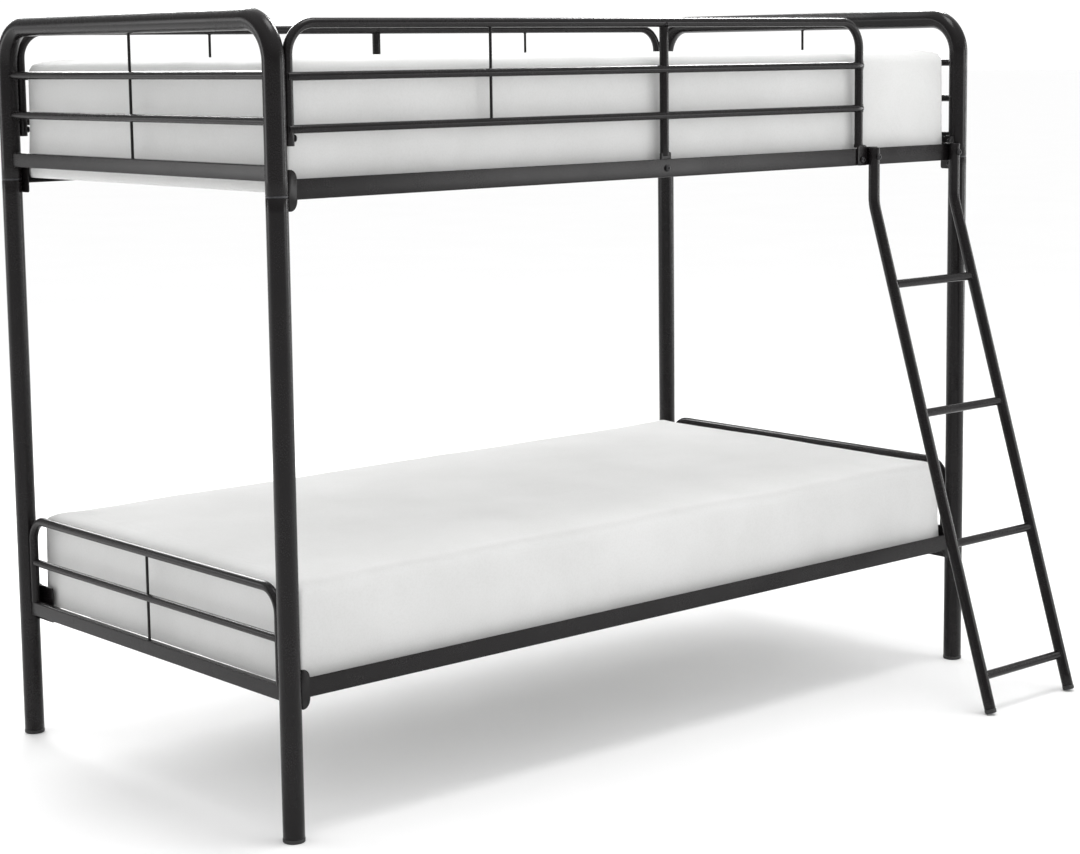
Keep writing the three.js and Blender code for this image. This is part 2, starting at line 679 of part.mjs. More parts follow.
function ladder() {
  const topZ = UPPER_RAIL_TOP + GAP + HOOK_THICKNESS / 2;
  const seatZ = LADDER_SOLE_Z + (LADDER_CAP_LENGTH + GAP) * Math.cos(LADDER_LEAN);
  const route = (x, footZ, headZ) => [
    [x, -HALF_Y - ladderOutAt(footZ), footZ],
    [x, -HALF_Y - LADDER_OUT, LADDER_BEND_Z],
    [x, -HALF_Y - LADDER_OUT, headZ],
  ];
  const shells = [];
  const bores = [];
  const hooks = [];
  for (const { x, hookX } of ladderUprights()) {
    shells.push(bar(route(x, seatZ, topZ), LADDER_RADIUS, TUBE_SIDES, LADDER_BEND_RADIUS,
      LADDER_BEND_STEPS));
    bores.push(bar(route(x, 0, UPPER_RAIL_Z - LADDER_RADIUS), LADDER_RADIUS - TUBE_WALL,
      BORE_SIDES, LADDER_BEND_RADIUS, LADDER_BEND_STEPS - 1));
    hooks.push(...hook(hookX, UPPER_RAIL_TOP + GAP));
  }
  const [left, right] = ladderUprights();
  for (let i = 0; i < RUNGS; i++) {
    const z = RUNG_LOWEST_Z + i * RUNG_PITCH;
    const y = -HALF_Y - ladderOutAt(z);
    const inset = LADDER_RADIUS - TUBE_WALL;
    shells.push(bar([[left.x + inset, y, z], [right.x - inset, y, z]], RUNG_RADIUS, ROD_SIDES));
    bores.push(bar([[left.x + inset - PAST, y, z], [right.x - inset + PAST, y, z]],
      RUNG_RADIUS - TUBE_WALL, HOLE_SIDES));
  }
  const bolts = ladderUprights().map(({ x }) =>
    bar([[x, -HALF_Y - LADDER_OUT - LADDER_RADIUS - PAST, RAIL_MIDDLE_BOLT_Z],
      [x, -HALF_Y, RAIL_MIDDLE_BOLT_Z]], BOLT_HOLE, HOLE_SIDES),
  );
  return cut(join([cut(join(shells), bores), ...hooks]), bolts);
}

// A strap from an upright's head, over the rail's edge and down behind it.
function hook(x, underside) {
  const front = -HALF_Y - LADDER_OUT;
  const back = -HALF_Y - RAIL_INNER + GAP;
  const x0 = x - HOOK_WIDTH / 2;
  const x1 = x + HOOK_WIDTH / 2;
  const top = underside + HOOK_THICKNESS;
  return [
    block([x0, front, underside], [x1, back + HOOK_THICKNESS, top]),
    block([x0, back, top - HOOK_DROP], [x1, back + HOOK_THICKNESS, top]),
  ];
}

// ---------- mattresses ----------

function mattress(bottomZ, thickness) {
  const x = MATTRESS_LENGTH / 2;
  const y = MATTRESS_WIDTH / 2;
  const r = MATTRESS_CORNER;
  const shape = new THREE.Shape();
  shape.moveTo(-x + r, -y);
  shape.lineTo(x - r, -y);
  shape.absarc(x - r, -y + r, r, -Math.PI / 2, 0);
  shape.lineTo(x, y - r);
  shape.absarc(x - r, y - r, r, 0, Math.PI / 2);
  shape.lineTo(-x + r, y);
  shape.absarc(-x + r, y - r, r, Math.PI / 2, Math.PI);
  shape.lineTo(-x, -y + r);
  shape.absarc(-x + r, -y + r, r, Math.PI, 1.5 * Math.PI);
  const geometry = new THREE.ExtrudeGeometry(shape, {
    depth: thickness - 2 * MATTRESS_EDGE,
    curveSegments: 3,
    bevelSize: MATTRESS_EDGE,
    bevelOffset: -MATTRESS_EDGE,
    bevelThickness: MATTRESS_EDGE,
    bevelSegments: 3,
  });
  geometry.translate(0, 0, bottomZ + MATTRESS_EDGE);
  return solidOf(geometry);
}

// ---------- bolts ----------

// A button-head bolt whose head rests at seat and whose shank runs along into.
function bolt(seat, into, length) {
  const head = BOLT_HEAD_HEIGHT;
  const made = turned(
    [
      [0, -length],
      [BOLT_RADIUS, -length],
      [BOLT_RADIUS, GAP],
      [BOLT_HEAD_RADIUS, GAP],
      [BOLT_HEAD_RADIUS, GAP + head * BOLT_RIM],
      [BOLT_HEAD_RADIUS * BOLT_CROWN, GAP + head],
      [0, GAP + head],
    ],
    HOLE_SIDES,
  );
  const socket = bar([[0, 0, GAP + head - BOLT_SOCKET_DEPTH], [0, 0, GAP + head + PAST]],
    BOLT_SOCKET_RADIUS, THIN_SIDES);
  const turn = new THREE.Quaternion().setFromUnitVectors(
    new THREE.Vector3(0, 0, -1), new THREE.Vector3(...into));
  const place = new THREE.Matrix4().compose(
    new THREE.Vector3(...seat), turn, new THREE.Vector3(1, 1, 1));
  return made.subtract(socket).transform(place.elements);
}

// ---------- putting it together ----------

const ENDS = { left: -HALF_X, right: HALF_X };
const SIDES = { front: -1, rear: 1 };
const DECKS = { lower: LOWER_RAIL_Z, upper: UPPER_RAIL_Z };

for (const [end, x] of Object.entries(ENDS)) {
  addPiece("lower_end_frame_" + end, lowerEndFrame(x), frameBlack);
  addPiece("upper_end_frame_" + end, upperEndFrame(x), frameBlack);
  for (const [face, side] of Object.entries(SIDES)) {
    const y = side * HALF_Y;
    addPiece(`post_sleeve_${face}_${end}`, sleeve(x, y), sleeveSteel);
    addPiece(`foot_cap_${face}_${end}`,
      plugCap(POST_RADIUS, POST_SIDES, POST_BORE_SIDES, FOOT_CAP_HEIGHT, CAP_EDGE)
        .translate([x, y, 0]),
      capBlack);
  }
}

for (const [face, side] of Object.entries(SIDES)) {
  for (const [deck, railZ] of Object.entries(DECKS)) {
    const ear = deck === "upper" ? UPPER_BRACKET_RETURN : LOWER_BRACKET_RETURN;
    addPiece(`${deck}_side_rail_${face}`, sideRail(side, railZ, ear), frameBlack);
    for (const [end, x] of Object.entries(ENDS)) {
      const inward = -Math.sign(x);
      boltHeights(railZ).forEach((z, i) => {
        const seat = [x + inward * (BRACKET_FACE + RAIL_THICKNESS), side * RAIL_BOLT_Y, z];
        addPiece(`${deck}_rail_bolt_${face}_${end}_${i + 1}`,
          bolt(seat, [-inward, 0, 0], BOLT_LENGTH.rail), boltBlack);
      });
    }
  }
}

for (const [deck, railZ] of Object.entries(DECKS)) {
  slatPlaces().forEach((x, i) => addPiece(`${deck}_slat_${i + 1}`, slat(x, railZ), frameBlack));
  const thickness = deck === "upper" ? UPPER_MATTRESS_THICKNESS : LOWER_MATTRESS_THICKNESS;
  const bottom = railZ + RAIL_THICKNESS + SLAT_HEIGHT + 2 * GAP;
  addPiece(deck + "_mattress", mattress(bottom, thickness), mattressWhite);
}

addPiece("front_guard_rail", guardRail(-1, GUARD_RIGHT_X, GUARD_SPINDLES_FRONT), frameBlack);
addPiece("rear_guard_rail", guardRail(1, GUARD_END_X, GUARD_SPINDLES_REAR), frameBlack);

const POST_BOLTS = [["front", "left"], ["rear", "left"], ["rear", "right"]];
for (const [face, end] of POST_BOLTS) {
  const inward = -Math.sign(ENDS[end]);
  const seat = [inward * (GUARD_RADIUS - GUARD_END_X), SIDES[face] * HALF_Y, GUARD_BOLT_Z];
  addPiece(`guard_post_bolt_${face}_${end}`, bolt(seat, [-inward, 0, 0], BOLT_LENGTH.guard),
    boltBlack);
}
for (const [face, side] of Object.entries(SIDES)) {
  const seat = [GUARD_MIDDLE_X, side * (HALF_Y + RAIL_OUTSET), RAIL_MIDDLE_BOLT_Z];
  addPiece("guard_middle_bolt_" + face, bolt(seat, [0, -side, 0], BOLT_LENGTH.middle), boltBlack);
}
const tabFace = -HALF_Y - RAIL_OUTSET - GAP - TAB_THICKNESS;
addPiece("guard_tab_bolt", bolt([GUARD_RIGHT_X, tabFace, TAB_BOLT_Z], [0, 1, 0], BOLT_LENGTH.tab),
  boltBlack);

addPiece("ladder", ladder(), frameBlack);
ladderUprights().forEach(({ x }, i) => {
  const name = i === 0 ? "left" : "right";
  const seat = [x, -HALF_Y - LADDER_OUT - LADDER_RADIUS, RAIL_MIDDLE_BOLT_Z];
  addPiece("ladder_bolt_" + name, bolt(seat, [0, 1, 0], BOLT_LENGTH.ladder), boltBlack);
  const cap = plugCap(LADDER_RADIUS, TUBE_SIDES, BORE_SIDES, LADDER_CAP_LENGTH, LADDER_CAP_EDGE);
  const mesh = addPiece("ladder_foot_cap_" + name, cap, capBlack);
  mesh.position.set(x, -HALF_Y - ladderOutAt(LADDER_SOLE_Z), LADDER_SOLE_Z);
  mesh.rotation.x = -LADDER_LEAN;
});

// The origin: the middle of the footprint, on the floor.
bed.updateMatrixWorld(true);
const box = new THREE.Box3().setFromObject(bed, true);
bed.position.set(-(box.min.x + box.max.x) / 2, -(box.min.y + box.max.y) / 2, -box.min.z);
const bunkBed = new THREE.Group();
bunkBed.add(bed);

export default bunkBed;
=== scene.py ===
# The bunk bed's looks: every steel part as a finely turned or bent and welded mesh, two soft
# mattresses, a pale floor and a studio. Metres, +Z up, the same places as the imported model.

import math

import bmesh
import bpy
from mathutils import Matrix, Vector, noise


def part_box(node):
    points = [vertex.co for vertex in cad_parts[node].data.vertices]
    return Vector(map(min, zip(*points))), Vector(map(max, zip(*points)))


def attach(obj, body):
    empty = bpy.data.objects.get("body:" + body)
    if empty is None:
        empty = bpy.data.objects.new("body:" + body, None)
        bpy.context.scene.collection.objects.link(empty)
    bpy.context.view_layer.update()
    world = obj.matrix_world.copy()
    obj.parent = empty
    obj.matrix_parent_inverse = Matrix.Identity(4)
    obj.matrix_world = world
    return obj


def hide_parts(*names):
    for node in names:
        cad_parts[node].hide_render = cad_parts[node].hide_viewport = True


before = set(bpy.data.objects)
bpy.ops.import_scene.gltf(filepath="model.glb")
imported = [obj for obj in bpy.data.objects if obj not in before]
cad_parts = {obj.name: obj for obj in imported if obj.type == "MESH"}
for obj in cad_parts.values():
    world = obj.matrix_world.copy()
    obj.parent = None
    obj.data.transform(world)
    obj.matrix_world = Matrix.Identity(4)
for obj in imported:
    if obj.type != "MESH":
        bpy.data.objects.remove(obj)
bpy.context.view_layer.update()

# ---------- sizes, as in the model ----------

MM = 0.001
frame_low, frame_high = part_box("lower_end_frame_left")
MID_Y = (frame_low.y + frame_high.y) / 2  # halfway between the front and the rear posts

POST_R = 21 * MM
WALL = 1.5 * MM
HALF_X = 1935 / 2 * MM
HALF_Y = 986 / 2 * MM
JOINT_Z = 1212 * MM
COLLAR = 2 * MM
TOP_Z = 1532.7 * MM
TOP_BEND = 80 * MM
FOOT_CAP = 8 * MM
GAP = 0.3 * MM

ROD_R = 8 * MM
SPINDLE_R = 3 * MM
BAR_H = 30 * MM
BAR_W = 15 * MM
UPPER_BAR_Z = 1253.2 * MM
UPPER_RODS_Z = (1430.6 * MM, 1347.6 * MM)
LOWER_BAR_Z = 282.5 * MM
LOWER_ROD_Z = 384.7 * MM
ARCH_Z = 479 * MM
ARCH_R = 9.5 * MM
ARCH_BEND = 48 * MM

RAIL_H = 38 * MM
RAIL_T = 3 * MM
RAIL_OUT = 8 * MM
RAIL_IN = RAIL_OUT - RAIL_T
UPPER_RAIL_Z = 1204.3 * MM
LOWER_RAIL_Z = 272.5 * MM
RAIL_TOP = UPPER_RAIL_Z + RAIL_H
BRACKET_NEAR = POST_R + GAP
BRACKET_FAR = 40 * MM
BRACKET_ABOVE = 17.5 * MM
BRACKET_BELOW = 21 * MM
EAR = {"upper": 38 * MM, "lower": 72 * MM}  # how far the bracket goes in behind the post
BOLT_INSET = 12 * MM
BOLT_IN = 3 * MM

SLATS = 6
SLAT_W = 30 * MM
SLAT_H = 6 * MM
SLAT_T = 1.5 * MM

GUARD_R = 9.5 * MM
GUARD_BEND = 58 * MM
GUARD_Z = 1524 * MM
GUARD_RODS_Z = (1428 * MM, 1332.4 * MM)
GUARD_ROD_OUT = 4 * MM
GUARD_ROD_PAST = 5 * MM
GUARD_FOOT_Z = 1302 * MM
GUARD_BOLT_Z = 1316 * MM
GUARD_END_X = HALF_X - POST_R - GUARD_R - GAP
GUARD_MIDDLE_X = 10 * MM
GUARD_RIGHT_X = 617.8 * MM
TAB_W = 30 * MM
TAB_T = 4 * MM
TUBE_FOOT_Z = RAIL_TOP + 6 * MM
RAIL_BOLT_Z = UPPER_RAIL_Z + RAIL_H / 2
TAB_BOLT_Z = UPPER_RAIL_Z + RAIL_H / 3

LADDER_X = (647.5 * MM, 930.8 * MM)
LADDER_R = 12.7 * MM
LADDER_OUT = RAIL_OUT + GAP + LADDER_R
LADDER_FOOT_OUT = 370 * MM
LADDER_BEND_Z = 1118 * MM
LADDER_BEND = 110 * MM
LADDER_CAP = 10 * MM
LADDER_CAP_EDGE = 4 * MM
RUNG_R = 9.5 * MM
RUNGS_Z = tuple((82 + 285 * i) * MM for i in range(4))
HOOK_W = 22 * MM
HOOK_T = 3 * MM
HOOK_DROP = 20 * MM
HOOK_SHIFT = (0, -15 * MM)
LEAN = math.atan((LADDER_FOOT_OUT - LADDER_OUT) / LADDER_BEND_Z)
SOLE_Z = ((LADDER_R + 0.5 * MM - LADDER_CAP_EDGE) * math.sin(LEAN)
          + LADDER_CAP_EDGE * (1 - math.cos(LEAN)))

SHANK_R = 4 * MM
HEAD_R = 7 * MM
HEAD_H = 4.5 * MM
SOCKET_R = 2.6 * MM
SOCKET_DEPTH = 2.2 * MM

POST_SIDES = 48
TUBE_SIDES = 36
ROD_SIDES = 32
THIN_SIDES = 20
RUN_STEP = 28 * MM  # a straight run has a ring at least this often
BEND_ANGLE = math.radians(5)
CUT_EDGE = 0.5 * MM  # the softened rim of a cut tube or plate
RIM = ((0, 1), (0.3, 0.3), (1, 0))  # a soft rim's (depth, shrink), in its own size

# How far the end of a bar, rod or tube goes into what it is welded to.
BAR_BITE, ROD_BITE, TUBE_BITE, LEG_BITE = 0.2 * MM, 0.4 * MM, 0.8 * MM, 1 * MM

# Radii of the weld beads.
BEAD = 1.7 * MM  # rods and rungs
BAR_BEAD = 1.6 * MM
FOOT_BEAD = 1.5 * MM
POST_BEAD = 1.4 * MM
THIN_BEAD = 1.3 * MM  # thin tubes and brackets
SPOT_BEAD = 1.1 * MM
HAIR_BEAD = 1.0 * MM
BEAD_POINTS = 64
BEAD_SIDES = 10
RIPPLE = 1.5 * MM
BEAD_IN = 1.5 * MM  # a leg's ring of weld is this much inside the tube's wall
BEAD_BACK, GUARD_BACK = 100 * MM, 60 * MM  # a bead is traced from this far away

X, Y, Z = Vector((1, 0, 0)), Vector((0, 1, 0)), Vector((0, 0, 1))

# ---------- node materials ----------


def new_material(name):
    made = bpy.data.materials.new(name)
    made.use_nodes = True
    tree = made.node_tree
    shader = tree.nodes["Principled BSDF"]
    place = tree.nodes.new("ShaderNodeTexCoord")
    return made, tree, shader, place.outputs["Object"]


def add_noise(tree, where, scale, detail=3.0, roughness=0.5):
    node = tree.nodes.new("ShaderNodeTexNoise")
    node.inputs["Scale"].default_value = scale
    node.inputs["Detail"].default_value = detail
    node.inputs["Roughness"].default_value = roughness
    tree.links.new(where, node.inputs["Vector"])
    return node.outputs["Fac"]


def add_range(tree, value, low, high, from_low=0.3, from_high=0.7):
    node = tree.nodes.new("ShaderNodeMapRange")
    tree.links.new(value, node.inputs["Value"])
    node.inputs["From Min"].default_value = from_low
    node.inputs["From Max"].default_value = from_high
    node.inputs["To Min"].default_value = low
    node.inputs["To Max"].default_value = high
    return node.outputs["Result"]


def add_ramp(tree, value, low, high):
    """A colour between two stops, each (position, red, green, blue)."""
    node = tree.nodes.new("ShaderNodeValToRGB")
    tree.links.new(value, node.inputs["Fac"])
    for element, (position, *colour) in zip(node.color_ramp.elements, (low, high)):
        element.position = position
        element.color = (*colour, 1)
    return node.outputs["Color"]


def add_bump(tree, height, strength, distance, under=None):
    node = tree.nodes.new("ShaderNodeBump")
    node.inputs["Strength"].default_value = strength
    node.inputs["Distance"].default_value = distance
    tree.links.new(height, node.inputs["Height"])
    if under is not None:
        tree.links.new(under, node.inputs["Normal"])
    return node.outputs["Normal"]


def add_math(tree, operation, a, b):
    node = tree.nodes.new("ShaderNodeMath")
    node.operation = operation
    for socket, value in zip(node.inputs, (a, b)):
        if isinstance(value, (int, float)):
            socket.default_value = value
        else:
            tree.links.new(value, socket)
    return node.outputs["Value"]


def powder_coat():
    """Black semi-gloss powder coat with fine orange peel and a cloudy gloss."""
    made, tree, shader, where = new_material("powder_coat")
    cloud = add_noise(tree, where, scale=9, detail=4)
    peel = add_noise(tree, where, scale=520, detail=2)
    grain = add_noise(tree, where, scale=1900, detail=1)
    colour = add_ramp(tree, cloud, (0.30, 0.0058, 0.0050, 0.0053),
                      (0.70, 0.0092, 0.0080, 0.0084))
    tree.links.new(colour, shader.inputs["Base Color"])
    gloss = add_range(tree, cloud, 0.22, 0.29)
    fine = add_range(tree, peel, -0.02, 0.03)
    tree.links.new(add_math(tree, "ADD", gloss, fine), shader.inputs["Roughness"])
    coarse = add_bump(tree, peel, strength=0.30, distance=0.00012)
    bump = add_bump(tree, grain, strength=0.12, distance=0.00004, under=coarse)
    tree.links.new(bump, shader.inputs["Normal"])
    shader.inputs["Specular IOR Level"].default_value = 0.22
    return made


def moulded_plastic():
    """Matt black plastic with a fine moulded grain and cloudy scuffs."""
    made, tree, shader, where = new_material("moulded_plastic")
    scuff = add_noise(tree, where, scale=70, detail=5, roughness=0.65)
    grain = add_noise(tree, where, scale=1500, detail=2)
    colour = add_ramp(tree, scuff, (0.42, 0.010, 0.010, 0.010), (0.72, 0.026, 0.025, 0.024))
    tree.links.new(colour, shader.inputs["Base Color"])
    tree.links.new(add_range(tree, scuff, 0.48, 0.66), shader.inputs["Roughness"])
    bump = add_bump(tree, grain, strength=0.25, distance=0.0001)
    tree.links.new(bump, shader.inputs["Normal"])
    return made


def metal(name, patch, marks, colours, gloss, metallic, strength):
    """Bare or plated steel: patch clouds its colour and gloss, marks roughen it."""
    made, tree, shader, where = new_material(name)
    patch = add_noise(tree, where, *patch)
    marks = add_noise(tree, where, *marks)
    tree.links.new(add_ramp(tree, patch, *colours), shader.inputs["Base Color"])
    tree.links.new(add_range(tree, patch, *gloss), shader.inputs["Roughness"])
    shader.inputs["Metallic"].default_value = metallic
    bump = add_bump(tree, marks, strength, distance=0.00005)
    tree.links.new(bump, shader.inputs["Normal"])
    return made


def mattress_fabric():
    """White woven ticking: crossing threads, a few slubs, and a soft sheen."""
    made, tree, shader, where = new_material("mattress_fabric")
    threads = []
    for direction in ("X", "Y", "Z"):
        wave = tree.nodes.new("ShaderNodeTexWave")
        wave.wave_type = "BANDS"
        wave.bands_direction = direction
        wave.wave_profile = "SIN"
        wave.inputs["Scale"].default_value = 180
        wave.inputs["Distortion"].default_value = 0.6
        wave.inputs["Detail"].default_value = 1
        tree.links.new(where, wave.inputs["Vector"])
        threads.append(wave.outputs["Fac"])
    weave = add_math(tree, "ADD", add_math(tree, "ADD", threads[0], threads[1]), threads[2])
    slub = add_noise(tree, where, scale=260, detail=2)
    shade = add_noise(tree, where, scale=4.5, detail=4)
    pucker = add_noise(tree, where, scale=34, detail=3)
    colour = add_ramp(tree, shade, (0.30, 0.615, 0.616, 0.610), (0.70, 0.665, 0.666, 0.662))
    thread = add_ramp(tree, slub, (0.25, 0.955, 0.955, 0.950), (0.60, 1.0, 1.0, 1.0))
    tint = tree.nodes.new("ShaderNodeMix")
    tint.data_type = "RGBA"
    tint.blend_type = "MULTIPLY"
    tint.inputs["Factor"].default_value = 1
    tree.links.new(colour, tint.inputs[MIX_A])
    tree.links.new(thread, tint.inputs[MIX_B])
    tree.links.new(tint.outputs[MIX_RESULT], shader.inputs["Base Color"])
    tree.links.new(add_range(tree, slub, 0.84, 0.95), shader.inputs["Roughness"])
    soft = add_bump(tree, pucker, strength=0.25, distance=0.0016)
    bump = add_bump(tree, weave, strength=0.35, distance=0.00035, under=soft)
    tree.links.new(bump, shader.inputs["Normal"])
    shader.inputs["Specular IOR Level"].default_value = 0.25
    shader.inputs["Sheen Weight"].default_value = 0.12
    shader.inputs["Sheen Roughness"].default_value = 0.5
    return made


def studio_floor():
    made, tree, shader, where = new_material("studio_floor")
    cloud = add_noise(tree, where, scale=1.3, detail=3)
    colour = add_ramp(tree, cloud, (0.30, 0.925, 0.925, 0.925), (0.70, 0.935, 0.935, 0.935))
    tree.links.new(colour, shader.inputs["Base Color"])
    shader.inputs["Roughness"].default_value = 0.85
    return made


MIX_A, MIX_B, MIX_RESULT = 6, 7, 2  # the colour sockets of a Mix node

COAT = powder_coat()
PLASTIC = moulded_plastic()
# Black-oxide bolts, darker in patches, with faint turning marks.
BOLT_STEEL = metal("blackened_steel", patch=(240, 3), marks=(2400, 1),
                   colours=((0.35, 0.020, 0.020, 0.022), (0.70, 0.045, 0.043, 0.044)),
                   gloss=(0.28, 0.46), metallic=0.75, strength=0.2)
# The sleeves' zinc plating: grey, with a cloudy passivated skin.
PLATED = metal("plated_steel", patch=(60, 5, 0.6), marks=(900, 2),
               colours=((0.35, 0.050, 0.050, 0.053), (0.70, 0.085, 0.085, 0.090)),
               gloss=(0.26, 0.42), metallic=0.9, strength=0.15)
FABRIC = mattress_fabric()

# ---------- shells ----------
# A shell is one closed surface, as (points, faces), measured from the middle of the bed.


def looped(rings, wrap=False):
    """Quads from each ring to the next. Open rows of rings are closed by a face at each end."""
    points = [p for ring in rings for p in ring]
    count = len(rings[0])
    faces = []
    spans = len(rings) if wrap else len(rings) - 1
    for i in range(spans):
        a, b = i * count, (i + 1) % len(rings) * count
        for j in range(count):
            k = (j + 1) % count
            faces.append((a + j, a + k, b + k, b + j))
    if not wrap:
        faces.append(tuple(range(count)))
        last = (len(rings) - 1) * count
        faces.append(tuple(range(last, last + count)))
    return points, faces


def circle(radius, sides):
    return [(radius * math.cos(2 * math.pi * i / sides), radius * math.sin(2 * math.pi * i / sides))
            for i in range(sides)]


def rounded(width, height, corner, steps=5):
    """A rectangle with round corners, about its middle, as a profile."""
    points = []
    for cx, cy, start in ((1, 1, 0), (-1, 1, 1), (-1, -1, 2), (1, -1, 3)):
        for i in range(steps + 1):
            a = math.pi / 2 * (start + i / steps)
            points.append((cx * (width / 2 - corner) + corner * math.cos(a),
                           cy * (height / 2 - corner) + corner * math.sin(a)))
    return points


def bent(corners, bend=0.0):
    """Stations (point, direction) along straight runs and round bends."""
    corners = [Vector(c) for c in corners]
    stations = []

    def straight(a, b):
        way = (b - a).normalized()
        pieces = max(1, math.ceil((b - a).length / RUN_STEP))
        for i in range(pieces + 1):
            stations.append((a.lerp(b, i / pieces), way))

    at = corners[0]
    for i in range(1, len(corners) - 1):
        into = (corners[i] - corners[i - 1]).normalized()
        out = (corners[i + 1] - corners[i]).normalized()
        turn = into.angle(out)
        back = bend * math.tan(turn / 2)
        start = corners[i] - into * back
        straight(at, start)
        axis = into.cross(out).normalized()
        arm = into.cross(axis) * bend
        middle = start - arm
        steps = max(3, math.ceil(turn / BEND_ANGLE))
        for s in range(1, steps):
            twist = Matrix.Rotation(turn * s / steps, 3, axis)
            stations.append((middle + twist @ arm, (twist @ into).normalized()))
        at = corners[i] + out * back
    straight(at, corners[-1])
    return stations


def sweep(stations, side, profile, edge=0.0, bore=None):
    """A profile carried along stations. side is level with the profile's first axis.
    edge rounds off both ends; bore is a smaller profile that makes it an open tube."""
    def ring(point, way, shape, scale=1.0):
        across = (side - way * side.dot(way)).normalized()
        up = way.cross(across)
        return [point + across * u * scale + up * v * scale for u, v in shape]

    outer = [ring(p, w, profile) for p, w in stations]
    if edge:
        reach = max(math.hypot(u, v) for u, v in profile)
        (p0, w0), (p1, w1) = stations[0], stations[-1]
        soft = [(0.0, 1.0), (0.3, 0.42), (1.0, 0.0)]
        head = [ring(p0 + w0 * edge * d, w0, profile, 1 - edge * s / reach) for d, s in soft]
        tail = [ring(p1 - w1 * edge * d, w1, profile, 1 - edge * s / reach) for d, s in soft]
        outer = head + outer[1:-1] + tail[::-1]
    if bore is None:
        return looped(outer)
    inner = [ring(p, w, bore) for p, w in reversed(stations)]
    return looped(outer + inner, wrap=True)


def tube(corners, radius, side=X, bend=0.0, sides=TUBE_SIDES, edge=0.0, wall=None):
    bore = circle(radius - wall, sides) if wall else None
    return sweep(bent(corners, bend), side, circle(radius, sides), edge, bore)


def slab(low, high, corner=1.2 * MM, edge=CUT_EDGE, thin=2):
    """A plate between two corners: rounded outline, softened rims. thin is its thin axis."""
    pairs = list(zip(low, high))
    low, high = Vector([min(pair) for pair in pairs]), Vector([max(pair) for pair in pairs])
    centre = (low + high) / 2
    size = high - low
    way, across = (X, Y, Z)[thin], (Y, Z, X)[thin]
    up = way.cross(across)
    width, height = size[(thin + 1) % 3], size[(thin + 2) % 3]
    a = centre - way * size[thin] / 2
    b = centre + way * size[thin] / 2
    corner = max(corner, edge * 1.5)

    def ring(point, shrink):
        shape = rounded(width - 2 * shrink, height - 2 * shrink, corner - shrink)
        return [point + across * u + up * v for u, v in shape]

    rings = [ring(a + way * edge * depth, edge * shrink) for depth, shrink in RIM]
    rings += [ring(b - way * edge * depth, edge * shrink) for depth, shrink in RIM[::-1]]
    return looped(rings)


def turned(profile, place, sides, wrap=False):
    """(radius, height) pairs turned about place's Z. With wrap, the last joins the first."""
    rings = [[place @ Vector((r * c, r * s, h)) for c, s in circle(1, sides)] for r, h in profile]
    return looped(rings, wrap)


def bead(a, way, small, b, axis, big, size=BEAD, outline=None):
    """A weld's rippled bead where a tube through a, running along way, meets the side of a round
    post through b along axis. outline stands in for the small tube's circle."""
    a, b, way, axis = Vector(a), Vector(b), Vector(way).normalized(), Vector(axis).normalized()
    across = axis.cross(way).normalized()
    up = way.cross(across)
    flat_way = way - axis * way.dot(axis)
    reach = flat_way.dot(flat_way)
    places = []
    for u, v in outline or circle(small, BEAD_POINTS):
        start = a + across * u + up * v
        rel = start - b
        flat_rel = rel - axis * rel.dot(axis)
        along = flat_rel.dot(flat_way)
        inside = along * along - reach * (flat_rel.dot(flat_rel) - big * big)
        if inside < 0:
            places.append(None)
        else:
            hit = start + way * ((-along - math.sqrt(inside)) / reach)
            places.append((hit, across * u + up * v))
    whole = all(places)
    if not whole:
        turn = 1 + max(i for i, p in enumerate(places) if p is None)
        places = [p for p in places[turn:] + places[:turn] if p]
        if len(places) < 5:
            return None
    count = len(places)
    rings = []
    length = 0.0
    for i, (point, out) in enumerate(places):
        before = places[i - 1][0] if whole or i else point
        after = places[(i + 1) % count][0] if whole or i < count - 1 else point
        length += (point - before).length
        way_on = (after - before).normalized()
        out = (out - way_on * out.dot(way_on)).normalized()
        side = way_on.cross(out)
        ripple = 1 + 0.10 * math.sin(length / RIPPLE * math.pi)
        taper = 1.0 if whole else max(0.25, min(1.0, i / 3, (count - 1 - i) / 3))
        r = size * ripple * taper
        rings.append([point + out * r * c + side * r * s for c, s in circle(1, BEAD_SIDES)])
    return looped(rings, wrap=whole)


def seam(a, b, size=BEAD):
    """A straight bead from a to b with rounded, tapered ends."""
    a, b = Vector(a), Vector(b)
    way = (b - a).normalized()
    side = way.orthogonal().normalized()
    up = way.cross(side)
    step = 0.8 * MM
    count = max(8, int((b - a).length / step))
    rings = []
    for i in range(count + 1):
        t = i / count
        ends = math.sqrt(max(0.04, 1 - (2 * t - 1) ** 8))
        r = size * ends * (1 + 0.09 * math.sin(i * 2.2))
        point = a.lerp(b, t)
        rings.append([point + side * r * c + up * r * s for c, s in circle(1, BEAD_SIDES)])
    return looped(rings)


# ---------- pieces ----------


def mesh_of(name, shell, move=True):
    points, faces = shell
    shift = Y * MID_Y if move else Vector()
    mesh = bpy.data.meshes.new(name)
    mesh.from_pydata([p + shift for p in points], [], faces)
    made = bmesh.new()
    made.from_mesh(mesh)
    bmesh.ops.recalc_face_normals(made, faces=made.faces)
    made.to_mesh(mesh)
    made.free()
    return mesh


def smooth(mesh, angle=34):
    mesh.shade_smooth()
    mesh.set_sharp_from_angle(angle=math.radians(angle))


